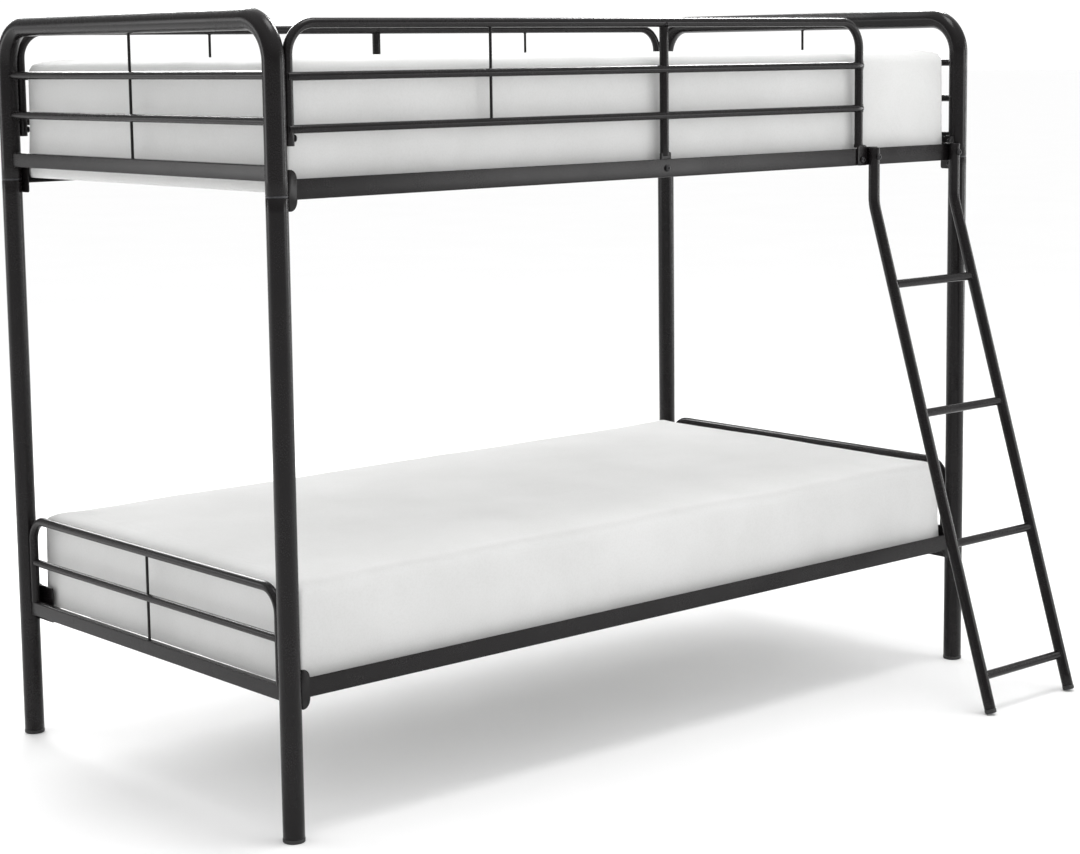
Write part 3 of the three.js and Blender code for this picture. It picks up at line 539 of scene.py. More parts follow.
def fused(name, shells):
    """One mesh that is the union of closed shells."""
    shells = [s for s in shells if s]
    parts = [bpy.data.objects.new(f"{name}_part", mesh_of(name, s)) for s in shells]
    for part in parts:
        bpy.context.scene.collection.objects.link(part)
    if len(parts) > 1:
        others = bpy.data.collections.new(name + "_others")
        for part in parts[1:]:
            others.objects.link(part)
        union = parts[0].modifiers.new("union", "BOOLEAN")
        union.operation = "UNION"
        union.operand_type = "COLLECTION"
        union.collection = others
        union.solver = "MANIFOLD"
    view = bpy.context.evaluated_depsgraph_get()
    mesh = bpy.data.meshes.new_from_object(parts[0].evaluated_get(view))
    mesh.name = name
    if len(parts) > 1:
        bpy.data.collections.remove(others)
    for part in parts:
        old = part.data
        bpy.data.objects.remove(part)
        bpy.data.meshes.remove(old)
    return mesh


def add(name, mesh, material, body, nodes):
    smooth(mesh)
    mesh.materials.clear()
    mesh.materials.append(material)
    piece = bpy.data.objects.new(name, mesh)
    bpy.context.scene.collection.objects.link(piece)
    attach(piece, body)
    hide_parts(*nodes)
    return piece


def steel(node, shells):
    return add(node + "_coated", fused(node, shells), COAT, "frame", [node])


# ---------- end frames ----------


def dense(profile, step=BAR_BEAD):
    """The same outline with more points along its straight sides."""
    points = []
    for i, (u, v) in enumerate(profile):
        u1, v1 = profile[(i + 1) % len(profile)]
        pieces = max(1, math.ceil(math.hypot(u1 - u, v1 - v) / step))
        points += [(u + (u1 - u) * k / pieces, v + (v1 - v) * k / pieces) for k in range(pieces)]
    return points


def crossbar(x, z):
    """The rectangular tube between the posts, and a weld round each of its ends."""
    corner = 2.6 * MM
    reach = HALF_Y - POST_R + WALL + BAR_BITE
    bar = sweep(bent([(x, -reach, z), (x, reach, z)]), X, rounded(BAR_W, BAR_H, corner))
    outline = dense(rounded(BAR_W, BAR_H, corner, 4))
    return [bar] + [bead((x, 0, z), (0, s, 0), 0, (x, s * HALF_Y, z), Z, POST_R, BAR_BEAD, outline)
                    for s in (-1, 1)]


def cross_rod(x, z):
    """A round rod between the posts, and a weld round each of its ends."""
    reach = HALF_Y - POST_R + WALL + ROD_BITE
    welds = [bead((x, 0, z), (0, s, 0), ROD_R, (x, s * HALF_Y, z), Z, POST_R) for s in (-1, 1)]
    return [tube([(x, -reach, z), (x, reach, z)], ROD_R, sides=ROD_SIDES), *welds]


def spot(x, y, z, radius=SPINDLE_R, size=SPOT_BEAD):
    """A ring of weld round an upright where it meets a level face at height z."""
    ring = [Vector((x + radius * c, y + radius * s, z)) for c, s in circle(1, 24)]
    rings = []
    for i, p in enumerate(ring):
        out = (p - Vector((x, y, z))).normalized()
        r = size * (1 + 0.12 * math.sin(i * 1.9))
        rings.append([p + out * r * c + Z * r * s for c, s in circle(1, 8)])
    return looped(rings, wrap=True)


def lower_end(name, x):
    foot, top = FOOT_CAP + GAP, JOINT_Z - COLLAR - GAP
    shells = [tube([(x, s * HALF_Y, foot), (x, s * HALF_Y, top)], POST_R, sides=POST_SIDES,
                   edge=CUT_EDGE, wall=WALL) for s in (-1, 1)]
    shells += crossbar(x, LOWER_BAR_Z)
    shells += cross_rod(x, LOWER_ROD_Z)
    # The arch, whose legs stand on the crossbar against the posts, and its spindle.
    leg = HALF_Y - POST_R - ARCH_R + LEG_BITE
    low = LOWER_BAR_Z + BAR_H / 2
    root = low - TUBE_BITE
    shells.append(tube([(x, -leg, root), (x, -leg, ARCH_Z), (x, leg, ARCH_Z), (x, leg, root)],
                       ARCH_R, bend=ARCH_BEND))
    shells.append(tube([(x, 0, root), (x, 0, ARCH_Z)], SPINDLE_R, sides=THIN_SIDES))
    shells.append(spot(x, 0, low))
    groove, start, stop = 2.6 * MM, low + 12 * MM, low + 45 * MM
    for s in (-1, 1):
        shells.append(spot(x, s * leg, low, ARCH_R - BEAD_IN, THIN_BEAD))
        touch = s * (leg + ARCH_R - 0.6 * MM)
        for at in (x - groove, x + groove):
            shells.append(seam((at, touch, start), (at, touch, stop), THIN_BEAD))
    for s in (-1, 1):
        shells.append(bead((x, 0, LOWER_ROD_Z), (0, s, 0), ROD_R, (x, s * leg, 0), Z, ARCH_R,
                           THIN_BEAD))
    return steel(name, shells)


def upper_end(name, x):
    foot = JOINT_Z + COLLAR + GAP
    shells = [tube([(x, -HALF_Y, foot), (x, -HALF_Y, TOP_Z), (x, HALF_Y, TOP_Z), (x, HALF_Y, foot)],
                   POST_R, bend=TOP_BEND, sides=POST_SIDES, edge=CUT_EDGE, wall=WALL)]
    shells += crossbar(x, UPPER_BAR_Z)
    for z in UPPER_RODS_Z:
        shells += cross_rod(x, z)
    low = UPPER_BAR_Z + BAR_H / 2
    shells.append(tube([(x, 0, low - TUBE_BITE), (x, 0, TOP_Z - POST_R + TUBE_BITE)], SPINDLE_R,
                       sides=THIN_SIDES))
    shells.append(spot(x, 0, low))
    shells.append(bead((x, 0, TOP_Z - BEAD_BACK), Z, SPINDLE_R, (x, 0, TOP_Z), Y, POST_R,
                       SPOT_BEAD))
    return steel(name, shells)


# ---------- sleeves, caps and bolts ----------


def sleeve(node, x, y):
    """The tube that joins two post halves, with the collar that shows between them."""
    outer, inner, half, c = 18.4 * MM, 16.0 * MM, 70 * MM, COLLAR
    lip, rim, soft = 0.8 * MM, 0.6 * MM, 0.7 * MM
    profile = [(inner, -half), (outer - rim, -half), (outer, -half + lip), (outer, -c),
               (POST_R - soft, -c), (POST_R - 0.15 * MM, -c * 0.6), (POST_R, 0),
               (POST_R - 0.15 * MM, c * 0.6), (POST_R - soft, c), (outer, c),
               (outer, half - lip), (outer - rim, half), (inner, half)]
    place = Matrix.Translation((x, y + MID_Y, JOINT_Z))
    mesh = mesh_of(node, turned(profile, place, POST_SIDES, wrap=True), move=False)
    return add(node + "_plated", mesh, PLATED, "frame", [node])


def cap(node, tube_radius, height, edge, place, sides):
    """A foot: a round-edged sole with a shallow hollow, and a plug with two ribs."""
    outer = tube_radius + 0.5 * MM
    plug = tube_radius - WALL - 0.6 * MM
    rib = 0.4 * MM
    profile = [(0.2 * outer, 0.8 * MM), (0.3 * outer, 0.7 * MM), (0.35 * outer, 0.0),
               (outer - edge, 0.0)]
    for i in range(1, 7):
        a = math.pi / 2 * i / 6
        profile.append((outer - edge + edge * math.sin(a), edge - edge * math.cos(a)))
    profile += [(outer, height * 0.82), (outer - 0.25 * MM, height * 0.95),
                (outer - 0.7 * MM, height), (plug + 0.5 * MM, height), (plug, height + 0.5 * MM)]
    for up in (6, 14):
        profile += [(plug, height + up * MM), (plug + rib, height + (up + 1.5) * MM),
                    (plug, height + (up + 3) * MM)]
    profile.append((plug - 1.2 * MM, height + 24 * MM))
    mesh = mesh_of(node, turned(profile, place, sides), move=False)
    return add(node + "_moulded", mesh, PLASTIC, "frame", [node])


def hexagon(radius, sides):
    """A hexagon's outline, as many points as a circle has."""
    points = []
    for i in range(sides):
        a = 2 * math.pi * i / sides
        r = radius * math.cos(math.pi / 6) / math.cos((a % (math.pi / 3)) - math.pi / 6)
        points.append((r * math.cos(a), r * math.sin(a)))
    return points


def bolt(node, seat, into, length):
    """A button-head bolt with a hexagon socket."""
    sides = 36
    tip, rim = 0.8 * MM, 0.4 * MM
    crown = GAP + HEAD_H
    rows = [(-length, circle(SHANK_R - tip, sides)), (-length + tip, circle(SHANK_R, sides)),
            (GAP, circle(SHANK_R, sides)), (GAP, circle(HEAD_R - rim, sides)),
            (GAP + 0.35 * MM, circle(HEAD_R, sides)), (GAP + HEAD_H * 0.34, circle(HEAD_R, sides))]
    for i in range(1, 7):
        a = math.pi / 2 * i / 6
        flat = HEAD_R * 0.5
        rows.append((GAP + HEAD_H * (0.34 + 0.66 * math.sin(a)),
                     circle(flat + (HEAD_R - flat) * math.cos(a), sides)))
    rows += [(crown, hexagon(SOCKET_R + 0.3 * MM, sides)),
             (crown - 0.25 * MM, hexagon(SOCKET_R, sides)),
             (crown - SOCKET_DEPTH, hexagon(SOCKET_R, sides)),
             (crown - SOCKET_DEPTH - 0.5 * MM, hexagon(SOCKET_R * 0.5, sides))]
    place = (Matrix.Translation(Vector(seat) + Y * MID_Y)
             @ (-Vector(into)).to_track_quat("Z", "Y").to_matrix().to_4x4())
    rings = [[place @ Vector((u, v, h)) for u, v in row] for h, row in rows]
    mesh = mesh_of(node, looped(rings), move=False)
    return add(node + "_turned", mesh, BOLT_STEEL, "frame", [node])


# ---------- side rails and slats ----------


def slat_places():
    pitch = (2 * HALF_X - 2 * BRACKET_FAR) / SLATS
    return [(i - (SLATS - 1) / 2) * pitch for i in range(SLATS)]


def arc(u, v, radius, start, turn, steps):
    """Points of a profile on an arc about (u, v). start and turn are in quarter turns."""
    return [(u + radius * math.cos(a), v + radius * math.sin(a))
            for a in (math.pi / 2 * (start + turn * i / steps) for i in range(steps + 1))]


def angle_profile():
    """The rail's section as (across, up): rolled corner outside, small fillet inside."""
    low, t, rolled, tip, fillet = -RAIL_OUT, RAIL_T, 2.6 * MM, 0.7 * MM, 1.2 * MM
    far, top = low + RAIL_H - tip, RAIL_H - tip
    return (arc(low + rolled, rolled, rolled, 2, 1, 6)
            + arc(far, tip, tip, -1, 1, 3) + arc(far, t - tip, tip, 0, 1, 3)
            + arc(low + t + fillet, t + fillet, fillet, 3, -1, 3)
            + arc(low + t - tip, top, tip, 0, 1, 3) + arc(low + tip, top, tip, 1, 1, 3))


def bracket_plate(side, end_x, z0, z1):
    """The bracket's outer plate: square at the post, rounded off along the rail."""
    inward = -math.copysign(1, end_x)
    near, round_off, nick = BRACKET_NEAR, 15 * MM, 0.8 * MM
    outline = []
    for i in range(9):
        a = math.pi / 2 * i / 8
        outline.append((BRACKET_FAR - round_off + round_off * math.sin(a),
                        z0 + BRACKET_BELOW * (1 - math.cos(a))))
    for i in range(9):
        a = math.pi / 2 * i / 8
        outline.append((BRACKET_FAR - round_off + round_off * math.cos(a),
                        z1 - BRACKET_ABOVE * (1 - math.sin(a))))
    outline += [(near + nick, z1), (near, z1 - nick), (near, z0 + nick), (near + nick, z0)]
    middle = Vector((sum(p[0] for p in outline) / len(outline), (z0 + z1) / 2))
    rows = [(CUT_EDGE * depth, CUT_EDGE * shrink) for depth, shrink in RIM]
    rows += [(RAIL_T - depth, shrink) for depth, shrink in rows[::-1]]
    rings = []
    for depth, shrink in rows:
        out = side * (HALF_Y + RAIL_OUT - depth)
        ring = []
        for u, v in outline:
            to = Vector((u, v)) - middle
            u1, v1 = middle + to * (1 - shrink / to.length)
            ring.append(Vector((end_x + inward * u1, out, v1)))
        rings.append(ring)
    return looped(rings)


def side_rail(deck, face, side, rail_z):
    """An angle-iron rail with a bracket at each end and two lugs round every slat."""
    end = HALF_X - BRACKET_NEAR
    y0 = side * HALF_Y
    section = [(-side * u, v) for u, v in angle_profile()]
    shells = [sweep(bent([(-end, y0, rail_z), (end, y0, rail_z)]), Y, section)]
    top = rail_z + RAIL_H
    z0, z1 = rail_z - BRACKET_BELOW, top + BRACKET_ABOVE

    def inset(depth):
        return side * (HALF_Y - depth)

    weld_y = inset(-RAIL_IN + 0.2 * MM)
    for end_x in (-HALF_X, HALF_X):
        inward = -math.copysign(1, end_x)
        near = end_x + inward * BRACKET_NEAR
        shells.append(bracket_plate(side, end_x, z0, z1))
        shells.append(slab((near, inset(-RAIL_OUT), z0),
                           (near + inward * RAIL_T, inset(EAR[deck] - RAIL_OUT), z1),
                           corner=5 * MM, thin=0))
        for z in (rail_z + 1.0 * MM, top - 1.0 * MM):
            shells.append(seam((end_x + inward * (BRACKET_FAR - 14 * MM), weld_y, z),
                               (end_x + inward * (BRACKET_FAR + 6 * MM), weld_y, z), THIN_BEAD))
    lug, lug_long, lug_high = 4 * MM, 12 * MM, RAIL_T + 5 * MM
    for x in slat_places():
        for way in (-1, 1):
            a = x + way * (SLAT_W / 2 + GAP)
            shells.append(slab((a, inset(-RAIL_IN - 1 * MM), rail_z + 1 * MM),
                               (a + way * lug, inset(-RAIL_IN + lug_long), rail_z + lug_high),
                               thin=0))
    return steel(f"{deck}_side_rail_{face}", shells)


def slat_mesh():
    """A pressed channel with rolled corners, open underneath, with a shallow groove along it."""
    w, h, t = SLAT_W / 2, SLAT_H, SLAT_T
    rolled, nick, groove, depth = 1.8 * MM, 0.3 * MM, 6 * MM, 0.5 * MM

    def grooved(way, top):
        return [(u, top - depth * (1 + math.cos(math.pi * u / groove)))
                for u in (way * (-groove + 2 * groove * i / 10) for i in range(11))]

    profile = [(-w, 0.0)] + arc(-w + rolled, h - rolled, rolled, 2, -1, 5) + grooved(1, h)
    profile += arc(w - rolled, h - rolled, rolled, 1, -1, 5) + [(w, 0.0)]
    profile += [(w - t, 0.0), (w - t, h - t - nick), (w - t - nick, h - t)] + grooved(-1, h - t)
    profile += [(-w + t + nick, h - t), (-w + t, h - t - nick), (-w + t, 0.0)]
    half = HALF_Y + RAIL_IN - GAP
    rings = [[Vector((u, -half + 2 * half * i / 24, v)) for u, v in profile] for i in range(25)]
    return mesh_of("slat", looped(rings), move=False)


# ---------- guard rails ----------


def guard(name, side, right_x, spindles):
    y = side * HALF_Y
    free = right_x < GUARD_END_X
    left = -GUARD_END_X
    right_foot = TUBE_FOOT_Z if free else GUARD_FOOT_Z
    shells = [tube([(left, y, GUARD_FOOT_Z), (left, y, GUARD_Z), (right_x, y, GUARD_Z),
                    (right_x, y, right_foot)], GUARD_R, side=Y, bend=GUARD_BEND, edge=CUT_EDGE,
                   wall=WALL)]
    rod_y = y + side * GUARD_ROD_OUT
    for z in GUARD_RODS_Z:
        ends = [(left - GUARD_ROD_PAST, rod_y, z), (right_x + GUARD_ROD_PAST, rod_y, z)]
        shells.append(tube(ends, ROD_R, side=Y, sides=ROD_SIDES, edge=0.9 * MM))
        for post_x in (left, right_x, GUARD_MIDDLE_X):
            for way in (-1, 1):
                if post_x == left and way < 0 or post_x == right_x and way > 0:
                    continue
                shells.append(bead((post_x - way * GUARD_BACK, rod_y, z), (way, 0, 0), ROD_R,
                                   (post_x, y, z), Z, GUARD_R, THIN_BEAD))
    under = GUARD_Z - GUARD_BACK
    for x in spindles:
        shells.append(tube([(x, y, GUARD_RODS_Z[1]), (x, y, GUARD_Z - GUARD_R + 0.6 * MM)],
                           SPINDLE_R, side=X, sides=THIN_SIDES))
        shells.append(bead((x, y, under), Z, SPINDLE_R, (x, y, GUARD_Z), X, GUARD_R, HAIR_BEAD))
    # The middle post, and the tab that bolts it to the rail's inner face.
    mid = GUARD_MIDDLE_X
    shells.append(tube([(mid, y, TUBE_FOOT_Z), (mid, y, GUARD_Z - GUARD_R + LEG_BITE)], GUARD_R,
                       side=X, edge=CUT_EDGE))
    shells.append(bead((mid, y, under), Z, GUARD_R, (mid, y, GUARD_Z), X, GUARD_R, POST_BEAD))
    tab_out = side * (HALF_Y + RAIL_IN - GAP)
    tab_top = TUBE_FOOT_Z + 8 * MM
    shells.append(slab((mid - TAB_W / 2, tab_out, UPPER_RAIL_Z + 2 * RAIL_T),
                       (mid + TAB_W / 2, tab_out - side * TAB_T, tab_top), corner=4 * MM, thin=1))
    weld_y = y + side * 1.4 * MM
    for way in (-1, 1):
        at = mid + way * GUARD_R * 0.98
        shells.append(seam((at, weld_y, TUBE_FOOT_Z), (at, weld_y, tab_top), POST_BEAD))
    if free:
        # The leg beside the ladder: a flat tab over the rail's face, and a web under the tube.
        face = HALF_Y + RAIL_OUT + GAP
        web = TAB_W / 2 - 4 * MM
        shells.append(slab((right_x - TAB_W / 2, side * face, UPPER_RAIL_Z),
                           (right_x + TAB_W / 2, side * (face + TAB_T), TUBE_FOOT_Z), corner=4 * MM,
                           thin=1))
        shells.append(slab((right_x - web, side * (HALF_Y - GUARD_R / 2), RAIL_TOP + 2 * MM),
                           (right_x + web, side * (face + TAB_T), TUBE_FOOT_Z + 2 * MM),
                           corner=2 * MM, edge=0.8 * MM, thin=0))
        shells.append(spot(right_x, y, TUBE_FOOT_Z + 2 * MM, GUARD_R, FOOT_BEAD))
    return steel(name, shells)


# ---------- ladder ----------


def ladder_out(z):
    """How far the ladder's axis is out from the posts at height z, below its bend."""
    return LADDER_OUT + (LADDER_FOOT_OUT - LADDER_OUT) * (LADDER_BEND_Z - z) / LADDER_BEND_Z


def ladder():
    seat = SOLE_Z + (LADDER_CAP + GAP) * math.cos(LEAN)
    lean_way = Vector((0, ladder_out(0) - ladder_out(1), 1)).normalized()
    under = RAIL_TOP + GAP
    out = -HALF_Y - LADDER_OUT
    back = -HALF_Y - RAIL_IN + GAP + HOOK_T / 2
    shells = []
    for x, shift in zip(LADDER_X, HOOK_SHIFT):
        shells.append(tube([(x, -HALF_Y - ladder_out(seat), seat), (x, out, LADDER_BEND_Z),
                            (x, out, under + HOOK_T / 2)], LADDER_R, bend=LADDER_BEND,
                           edge=1.2 * MM))
        hook_x = x + shift
        hook = bent([(hook_x, out, under + HOOK_T / 2), (hook_x, back, under + HOOK_T / 2),
                     (hook_x, back, under + HOOK_T - HOOK_DROP)], HOOK_T * 0.9)
        shells.append(sweep(hook, X, rounded(HOOK_W, HOOK_T, 0.8 * MM, 3), edge=0.4 * MM))
    left, right = LADDER_X
    inset = LADDER_R - WALL
    for z in RUNGS_Z:
        y = -HALF_Y - ladder_out(z)
        shells.append(tube([(left + inset, y, z), (right - inset, y, z)], RUNG_R, side=Y))
        for x, way in ((left, -1), (right, 1)):
            shells.append(bead(((left + right) / 2, y, z), (way, 0, 0), RUNG_R, (x, y, z), lean_way,
                               LADDER_R))
    return steel("ladder", shells)


# ---------- mattresses ----------

FOOT_EDGE, TOP_EDGE, CORNER = 4 * MM, 18 * MM, 12 * MM
SLACK = 1.5 * MM  # the cover starts this much smaller all round, because it swells
CROWN_ROOM = 2 * MM
VOXEL = 11.5 * MM
SWELL_MOST = 7 * MM
HELD = 9 * MM  # the cloth is held up to this height, where it lies on the slats
FLAT = 7 * MM  # what ends up lower than this is laid flat on the slats
CLOTH_STEPS = 20
SKIRT = 60 * MM  # the sides are shaped this far in from their faces
PULL = 3.0 * MM
CREASE = 2.0 * MM
CLEAR = 0.2 * MM
BULGE_X, BULGE_REACH = 0.80, 0.16  # along the bed, between the front guard and the post


def soft_box(low, high):
    """A closed box with round corners and edges, made of level rings, a little under full size."""
    size = high - low
    centre = (low + high) / 2
    rows = []
    for i in range(7):
        a = math.pi / 2 * i / 6
        rows.append((FOOT_EDGE * (1 - math.sin(a)), FOOT_EDGE * (1 - math.cos(a))))
    for i in range(7):
        a = math.pi / 2 * i / 6
        rows.append((TOP_EDGE * (1 - math.cos(a)),
                     size.z - CROWN_ROOM - TOP_EDGE * (1 - math.sin(a))))
    rings = []
    for inset, rise in rows:
        inset += SLACK
        shape = rounded(size.x - 2 * inset, size.y - 2 * inset, CORNER - inset * 0.4, 8)
        rings.append([Vector((centre.x + u, centre.y + v, low.z + rise)) for u, v in shape])
    return looped(rings)


def falloff(distance, reach):
    """1 at no distance, down smoothly to 0 at reach."""
    t = max(0.0, min(1.0, 1 - distance / reach))
    return t * t * (3 - 2 * t)


def mattress(deck, seed, top_rise, bulge=0.0):
    node = deck + "_mattress"
    low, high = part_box(node)
    piece = bpy.data.objects.new(node + "_padded",
                                 mesh_of(node, soft_box(low, high), move=False))
    bpy.context.scene.collection.objects.link(piece)
    bpy.context.view_layer.objects.active = piece
    remesh = piece.modifiers.new("remesh", "REMESH")
    remesh.mode = "VOXEL"
    remesh.voxel_size = VOXEL
    settle(piece)
    swell(piece, low)
    shape_mattress(piece.data, low, high, seed, top_rise, bulge)
    piece.data.shade_smooth()
    piece.data.materials.clear()
    piece.data.materials.append(FABRIC)
    more = piece.modifiers.new("subdivision", "SUBSURF")
    more.levels = more.render_levels = 1
    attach(piece, node + "_body")
    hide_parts(node)


def settle(piece):
    """The piece's modifiers become its mesh."""
    view = bpy.context.evaluated_depsgraph_get()
    mesh = bpy.data.meshes.new_from_object(piece.evaluated_get(view))
    old = piece.data
    piece.modifiers.clear()
    piece.data = mesh
    bpy.data.meshes.remove(old)


def swell(piece, low):
    """Pressure from inside, as stuffing presses on the cover, held down along the bottom."""
    rest = [v.co.copy() for v in piece.data.vertices]
    held = piece.vertex_groups.new(name="held")
    held.add([i for i, p in enumerate(rest) if p.z < low.z + HELD], 1.0, "REPLACE")
    cloth = piece.modifiers.new("swell", "CLOTH")
    cloth.settings.use_pressure = True
    cloth.settings.uniform_pressure_force = 4
    cloth.settings.vertex_group_mass = "held"
    cloth.settings.quality = 4
    cloth.settings.mass = 0.3
    cloth.settings.tension_stiffness = 12
    cloth.settings.compression_stiffness = 12
    cloth.settings.bending_stiffness = 4
    cloth.settings.effector_weights.gravity = 0
    cloth.collision_settings.use_collision = False
    cloth.point_cache.frame_start = 1
    cloth.point_cache.frame_end = CLOTH_STEPS
    scene = bpy.context.scene
    for step in range(1, CLOTH_STEPS + 1):
        scene.frame_set(step)
    settle(piece)
    scene.frame_set(1)
    for vertex, start in zip(piece.data.vertices, rest):
        moved = vertex.co - start
        if moved.length > 1e-9:
            vertex.co = start + moved * (SWELL_MOST / (SWELL_MOST + moved.length))


def shape_mattress(mesh, low, high, seed, top_rise, bulge):
    """Body: a low crown, uneven filling, sides that pull in between the corners, soft creases.
    The bottom stays flat, and the sides stay between the rails but for the bulge."""
    centre = (low + high) / 2
    half = (high - low) / 2
    shift = Vector((seed * 3.7, seed * 1.9, seed * 5.3))
    for vertex in mesh.vertices:
        p = vertex.co
        u, v = (p.x - centre.x) / half.x, (p.y - centre.y) / half.y
        rise = max(0.0, min(1.0, (p.z - low.z) / (high.z - low.z)))
        wave = noise.noise(Vector((p.x * 3.1, p.y * 3.7, rise * 1.2)) + shift)
        fine = noise.noise(Vector((p.x * 11, p.y * 12, p.z * 5)) + shift * 2)
        crown = top_rise * (1 - 0.25 * u * u) * (1 - 0.35 * v * v)
        p.z += rise ** 2 * (crown + wave * 3.2 * MM + fine * 0.9 * MM)
        # The sides: pulled in along the top and bottom, with shallow upright creases low down.
        edge_y = falloff(half.y - abs(p.y - centre.y), SKIRT)
        edge_x = falloff(half.x - abs(p.x - centre.x), SKIRT)
        belly = math.sin(math.pi * rise)
        crease = noise.noise(Vector((p.x * 22, p.y * 22, p.z * 4)) + shift * 3)
        crease *= CREASE * (0.25 + (1 - rise) ** 1.5)
        wave_y = 1.5 * MM * noise.noise(Vector((p.x * 4, 3.0, p.z * 9)) + shift)
        wave_x = 1.5 * MM * noise.noise(Vector((2.0, p.y * 4, p.z * 9)) + shift)
        pull_y = -PULL * (1 - u ** 4) * (1 - belly) + crease + wave_y
        pull_x = -PULL * (1 - v ** 4) * (1 - belly) + crease + wave_x
        p.y += math.copysign(1, p.y - centre.y) * edge_y * pull_y
        p.x += math.copysign(1, p.x - centre.x) * edge_x * pull_x
        if p.z < low.z + FLAT:
            p.z = low.z
        p.x = max(low.x + CLEAR, min(high.x - CLEAR, p.x))
        p.y = max(low.y + CLEAR, min(high.y - CLEAR, p.y))
        # Nothing holds the side back beyond the front guard, beside the ladder.
        if bulge and p.y < centre.y:
            along = falloff(abs(p.x - BULGE_X), BULGE_REACH)
            p.y -= bulge * along * falloff(p.y - low.y, SKIRT) * max(0.0, belly) ** 1.5


# ---------- the bed ----------

ENDS = {"left": -HALF_X, "right": HALF_X}
SIDES = {"front": -1, "rear": 1}
DECKS = {"lower": LOWER_RAIL_Z, "upper": UPPER_RAIL_Z}


def bolt_heights(rail_z):
    return (rail_z - BRACKET_BELOW + BOLT_INSET, rail_z + RAIL_H + BRACKET_ABOVE - BOLT_INSET)


RAIL_BOLT, GUARD_BOLT, MIDDLE_BOLT, TAB_BOLT = 13 * MM, 30 * MM, 10 * MM, 12 * MM  # lengths
LADDER_BOLT = 2 * LADDER_R + 8 * MM

for end, x in ENDS.items():
    lower_end("lower_end_frame_" + end, x)
    upper_end("upper_end_frame_" + end, x)
    for face, side in SIDES.items():
        sleeve(f"post_sleeve_{face}_{end}", x, side * HALF_Y)
        cap(f"foot_cap_{face}_{end}", POST_R, FOOT_CAP, 2.5 * MM,
            Matrix.Translation((x, side * HALF_Y + MID_Y, 0)), POST_SIDES)

for face, side in SIDES.items():
    for deck, rail_z in DECKS.items():
        side_rail(deck, face, side, rail_z)
        for end, x in ENDS.items():
            inward = -math.copysign(1, x)
            for i, z in enumerate(bolt_heights(rail_z)):
                seat = (x + inward * (BRACKET_NEAR + RAIL_T), side * (HALF_Y - BOLT_IN), z)
                bolt(f"{deck}_rail_bolt_{face}_{end}_{i + 1}", seat, (-inward, 0, 0), RAIL_BOLT)

shared_slat = slat_mesh()
for deck, rail_z in DECKS.items():
    for i, x in enumerate(slat_places()):
        node = f"{deck}_slat_{i + 1}"
        piece = add(node + "_pressed", shared_slat, COAT, "frame", [node])
        piece.location = (x, MID_Y, rail_z + RAIL_T + GAP)

guard("front_guard_rail", -1, GUARD_RIGHT_X, [-458 * MM])
guard("rear_guard_rail", 1, GUARD_END_X, [-460 * MM, 478 * MM])
for face, end in (("front", "left"), ("rear", "left"), ("rear", "right")):
    inward = -math.copysign(1, ENDS[end])
    seat = (inward * (GUARD_R - GUARD_END_X), SIDES[face] * HALF_Y, GUARD_BOLT_Z)
    bolt(f"guard_post_bolt_{face}_{end}", seat, (-inward, 0, 0), GUARD_BOLT)
for face, side in SIDES.items():
    bolt("guard_middle_bolt_" + face, (GUARD_MIDDLE_X, side * (HALF_Y + RAIL_OUT), RAIL_BOLT_Z),
         (0, -side, 0), MIDDLE_BOLT)
bolt("guard_tab_bolt", (GUARD_RIGHT_X, -HALF_Y - RAIL_OUT - GAP - TAB_T, TAB_BOLT_Z), (0, 1, 0),
     TAB_BOLT)

ladder()
for name, x in zip(("left", "right"), LADDER_X):
    bolt("ladder_bolt_" + name, (x, -HALF_Y - LADDER_OUT - LADDER_R, RAIL_BOLT_Z), (0, 1, 0),
         LADDER_BOLT)
    place = Matrix.Translation((x, -HALF_Y - ladder_out(SOLE_Z) + MID_Y, SOLE_Z)) \
        @ Matrix.Rotation(-LEAN, 4, "X")
    cap("ladder_foot_cap_" + name, LADDER_R, LADDER_CAP, LADDER_CAP_EDGE, place, TUBE_SIDES)

mattress("lower", seed=1, top_rise=10 * MM)
mattress("upper", seed=2, top_rise=5 * MM, bulge=9 * MM)

# ---------- floor, light and camera ----------

REACH = 120  # far enough that the floor's rim doesn't show
plane = bpy.data.meshes.new("floor")
plane.from_pydata([(-REACH, -REACH, 0), (REACH, -REACH, 0), (REACH, REACH, 0),
                   (-REACH, REACH, 0)], [], [(0, 1, 2, 3)])
floor = bpy.data.objects.new("floor", plane)
floor.data.materials.append(studio_floor())
bpy.context.scene.collection.objects.link(floor)

world = bpy.data.worlds.new("studio")
world.use_nodes = True
tree = world.node_tree
fill = tree.nodes["Background"]
fill.inputs["Color"].default_value = (1, 1, 1, 1)
fill.inputs["Strength"].default_value = 1.08
# Polished things see a studio that is dim around the walls and bright overhead.
walls = tree.nodes.new("ShaderNodeBackground")
walls.inputs["Color"].default_value = (1, 1, 1, 1)
direction = tree.nodes.new("ShaderNodeTexCoord")
parts = tree.nodes.new("ShaderNodeSeparateXYZ")
tree.links.new(direction.outputs["Generated"], parts.inputs["Vector"])
tree.links.new(add_range(tree, parts.outputs["Z"], 0.16, 1.0, 0.02, 0.75), walls.inputs["Strength"])
seen = tree.nodes.new("ShaderNodeLightPath")
either = tree.nodes.new("ShaderNodeMixShader")
tree.links.new(seen.outputs["Is Glossy Ray"], either.inputs["Fac"])
tree.links.new(fill.outputs["Background"], either.inputs[1])
tree.links.new(walls.outputs["Background"], either.inputs[2])
tree.links.new(either.outputs["Shader"], tree.nodes["World Output"].inputs["Surface"])
bpy.context.scene.world = world


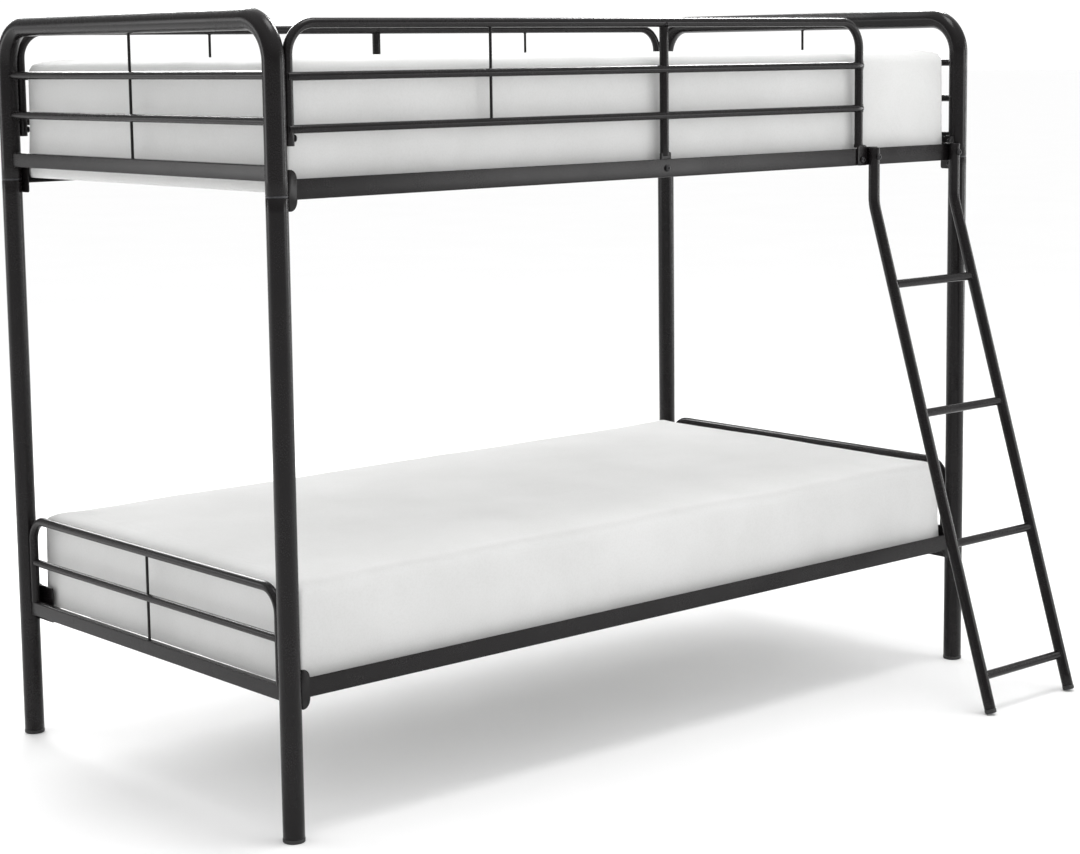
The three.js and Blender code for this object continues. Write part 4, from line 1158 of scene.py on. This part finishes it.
def area_light(name, place, aim_z, size, power, gloss_only=False):
    """A soft box at place that faces the bed at height aim_z. gloss_only ones only reflect."""
    aim = Vector((0, 0.1, aim_z))
    data = bpy.data.lights.new(name, "AREA")
    data.shape = "RECTANGLE"
    data.size, data.size_y = size
    data.energy = power
    lamp = bpy.data.objects.new(name, data)
    lamp.location = place
    lamp.visible_camera = False
    lamp.visible_diffuse = not gloss_only
    lamp.rotation_euler = (aim - Vector(place)).to_track_quat("-Z", "Y").to_euler()
    bpy.context.scene.collection.objects.link(lamp)


area_light("back", (0.8, 4.2, 2.9), 0.8, (2.6, 1.6), 120)
area_light("top", (0.4, -0.8, 5.0), 0.8, (2.2, 1.4), 70)
area_light("key", (3.4, -4.2, 1.4), 1.2, (1.7, 1.5), 38)
area_light("strip_back", (0.5, 3.5, 3.7), 1.4, (1.3, 0.9), 110, gloss_only=True)
area_light("strip_right", (3.3, 1.8, 3.7), 1.4, (1.3, 0.9), 110, gloss_only=True)
area_light("strip_front", (4.6, -1.5, 1.3), 1.0, (0.5, 2.2), 45, gloss_only=True)
area_light("end", (-4.2, 3.9, 1.4), 1.2, (1.7, 1.5), 28)

EYE = Vector((-3.3803, MID_Y - 3.9983, 1.4642))
yaw, pitch, roll = 0.717, 0.1294, -0.0123
forward = Vector((math.sin(yaw) * math.cos(pitch), math.cos(yaw) * math.cos(pitch),
                  -math.sin(pitch)))
level = Vector((math.cos(yaw), -math.sin(yaw), 0))
above = level.cross(forward)
right = level * math.cos(roll) + above * math.sin(roll)
up = above * math.cos(roll) - level * math.sin(roll)
lens = bpy.data.cameras.new("camera")
lens.sensor_fit = "HORIZONTAL"
lens.sensor_width = 36
lens.lens = 77.67
lens.shift_x = -0.0056
lens.shift_y = -0.0655
lens.clip_end = 400
camera = bpy.data.objects.new("camera", lens)
camera.matrix_world = Matrix.Translation(EYE) @ Matrix((right, up, -forward)).transposed().to_4x4()
bpy.context.scene.collection.objects.link(camera)
bpy.context.scene.camera = camera
bpy.context.scene.view_settings.view_transform = "Standard"
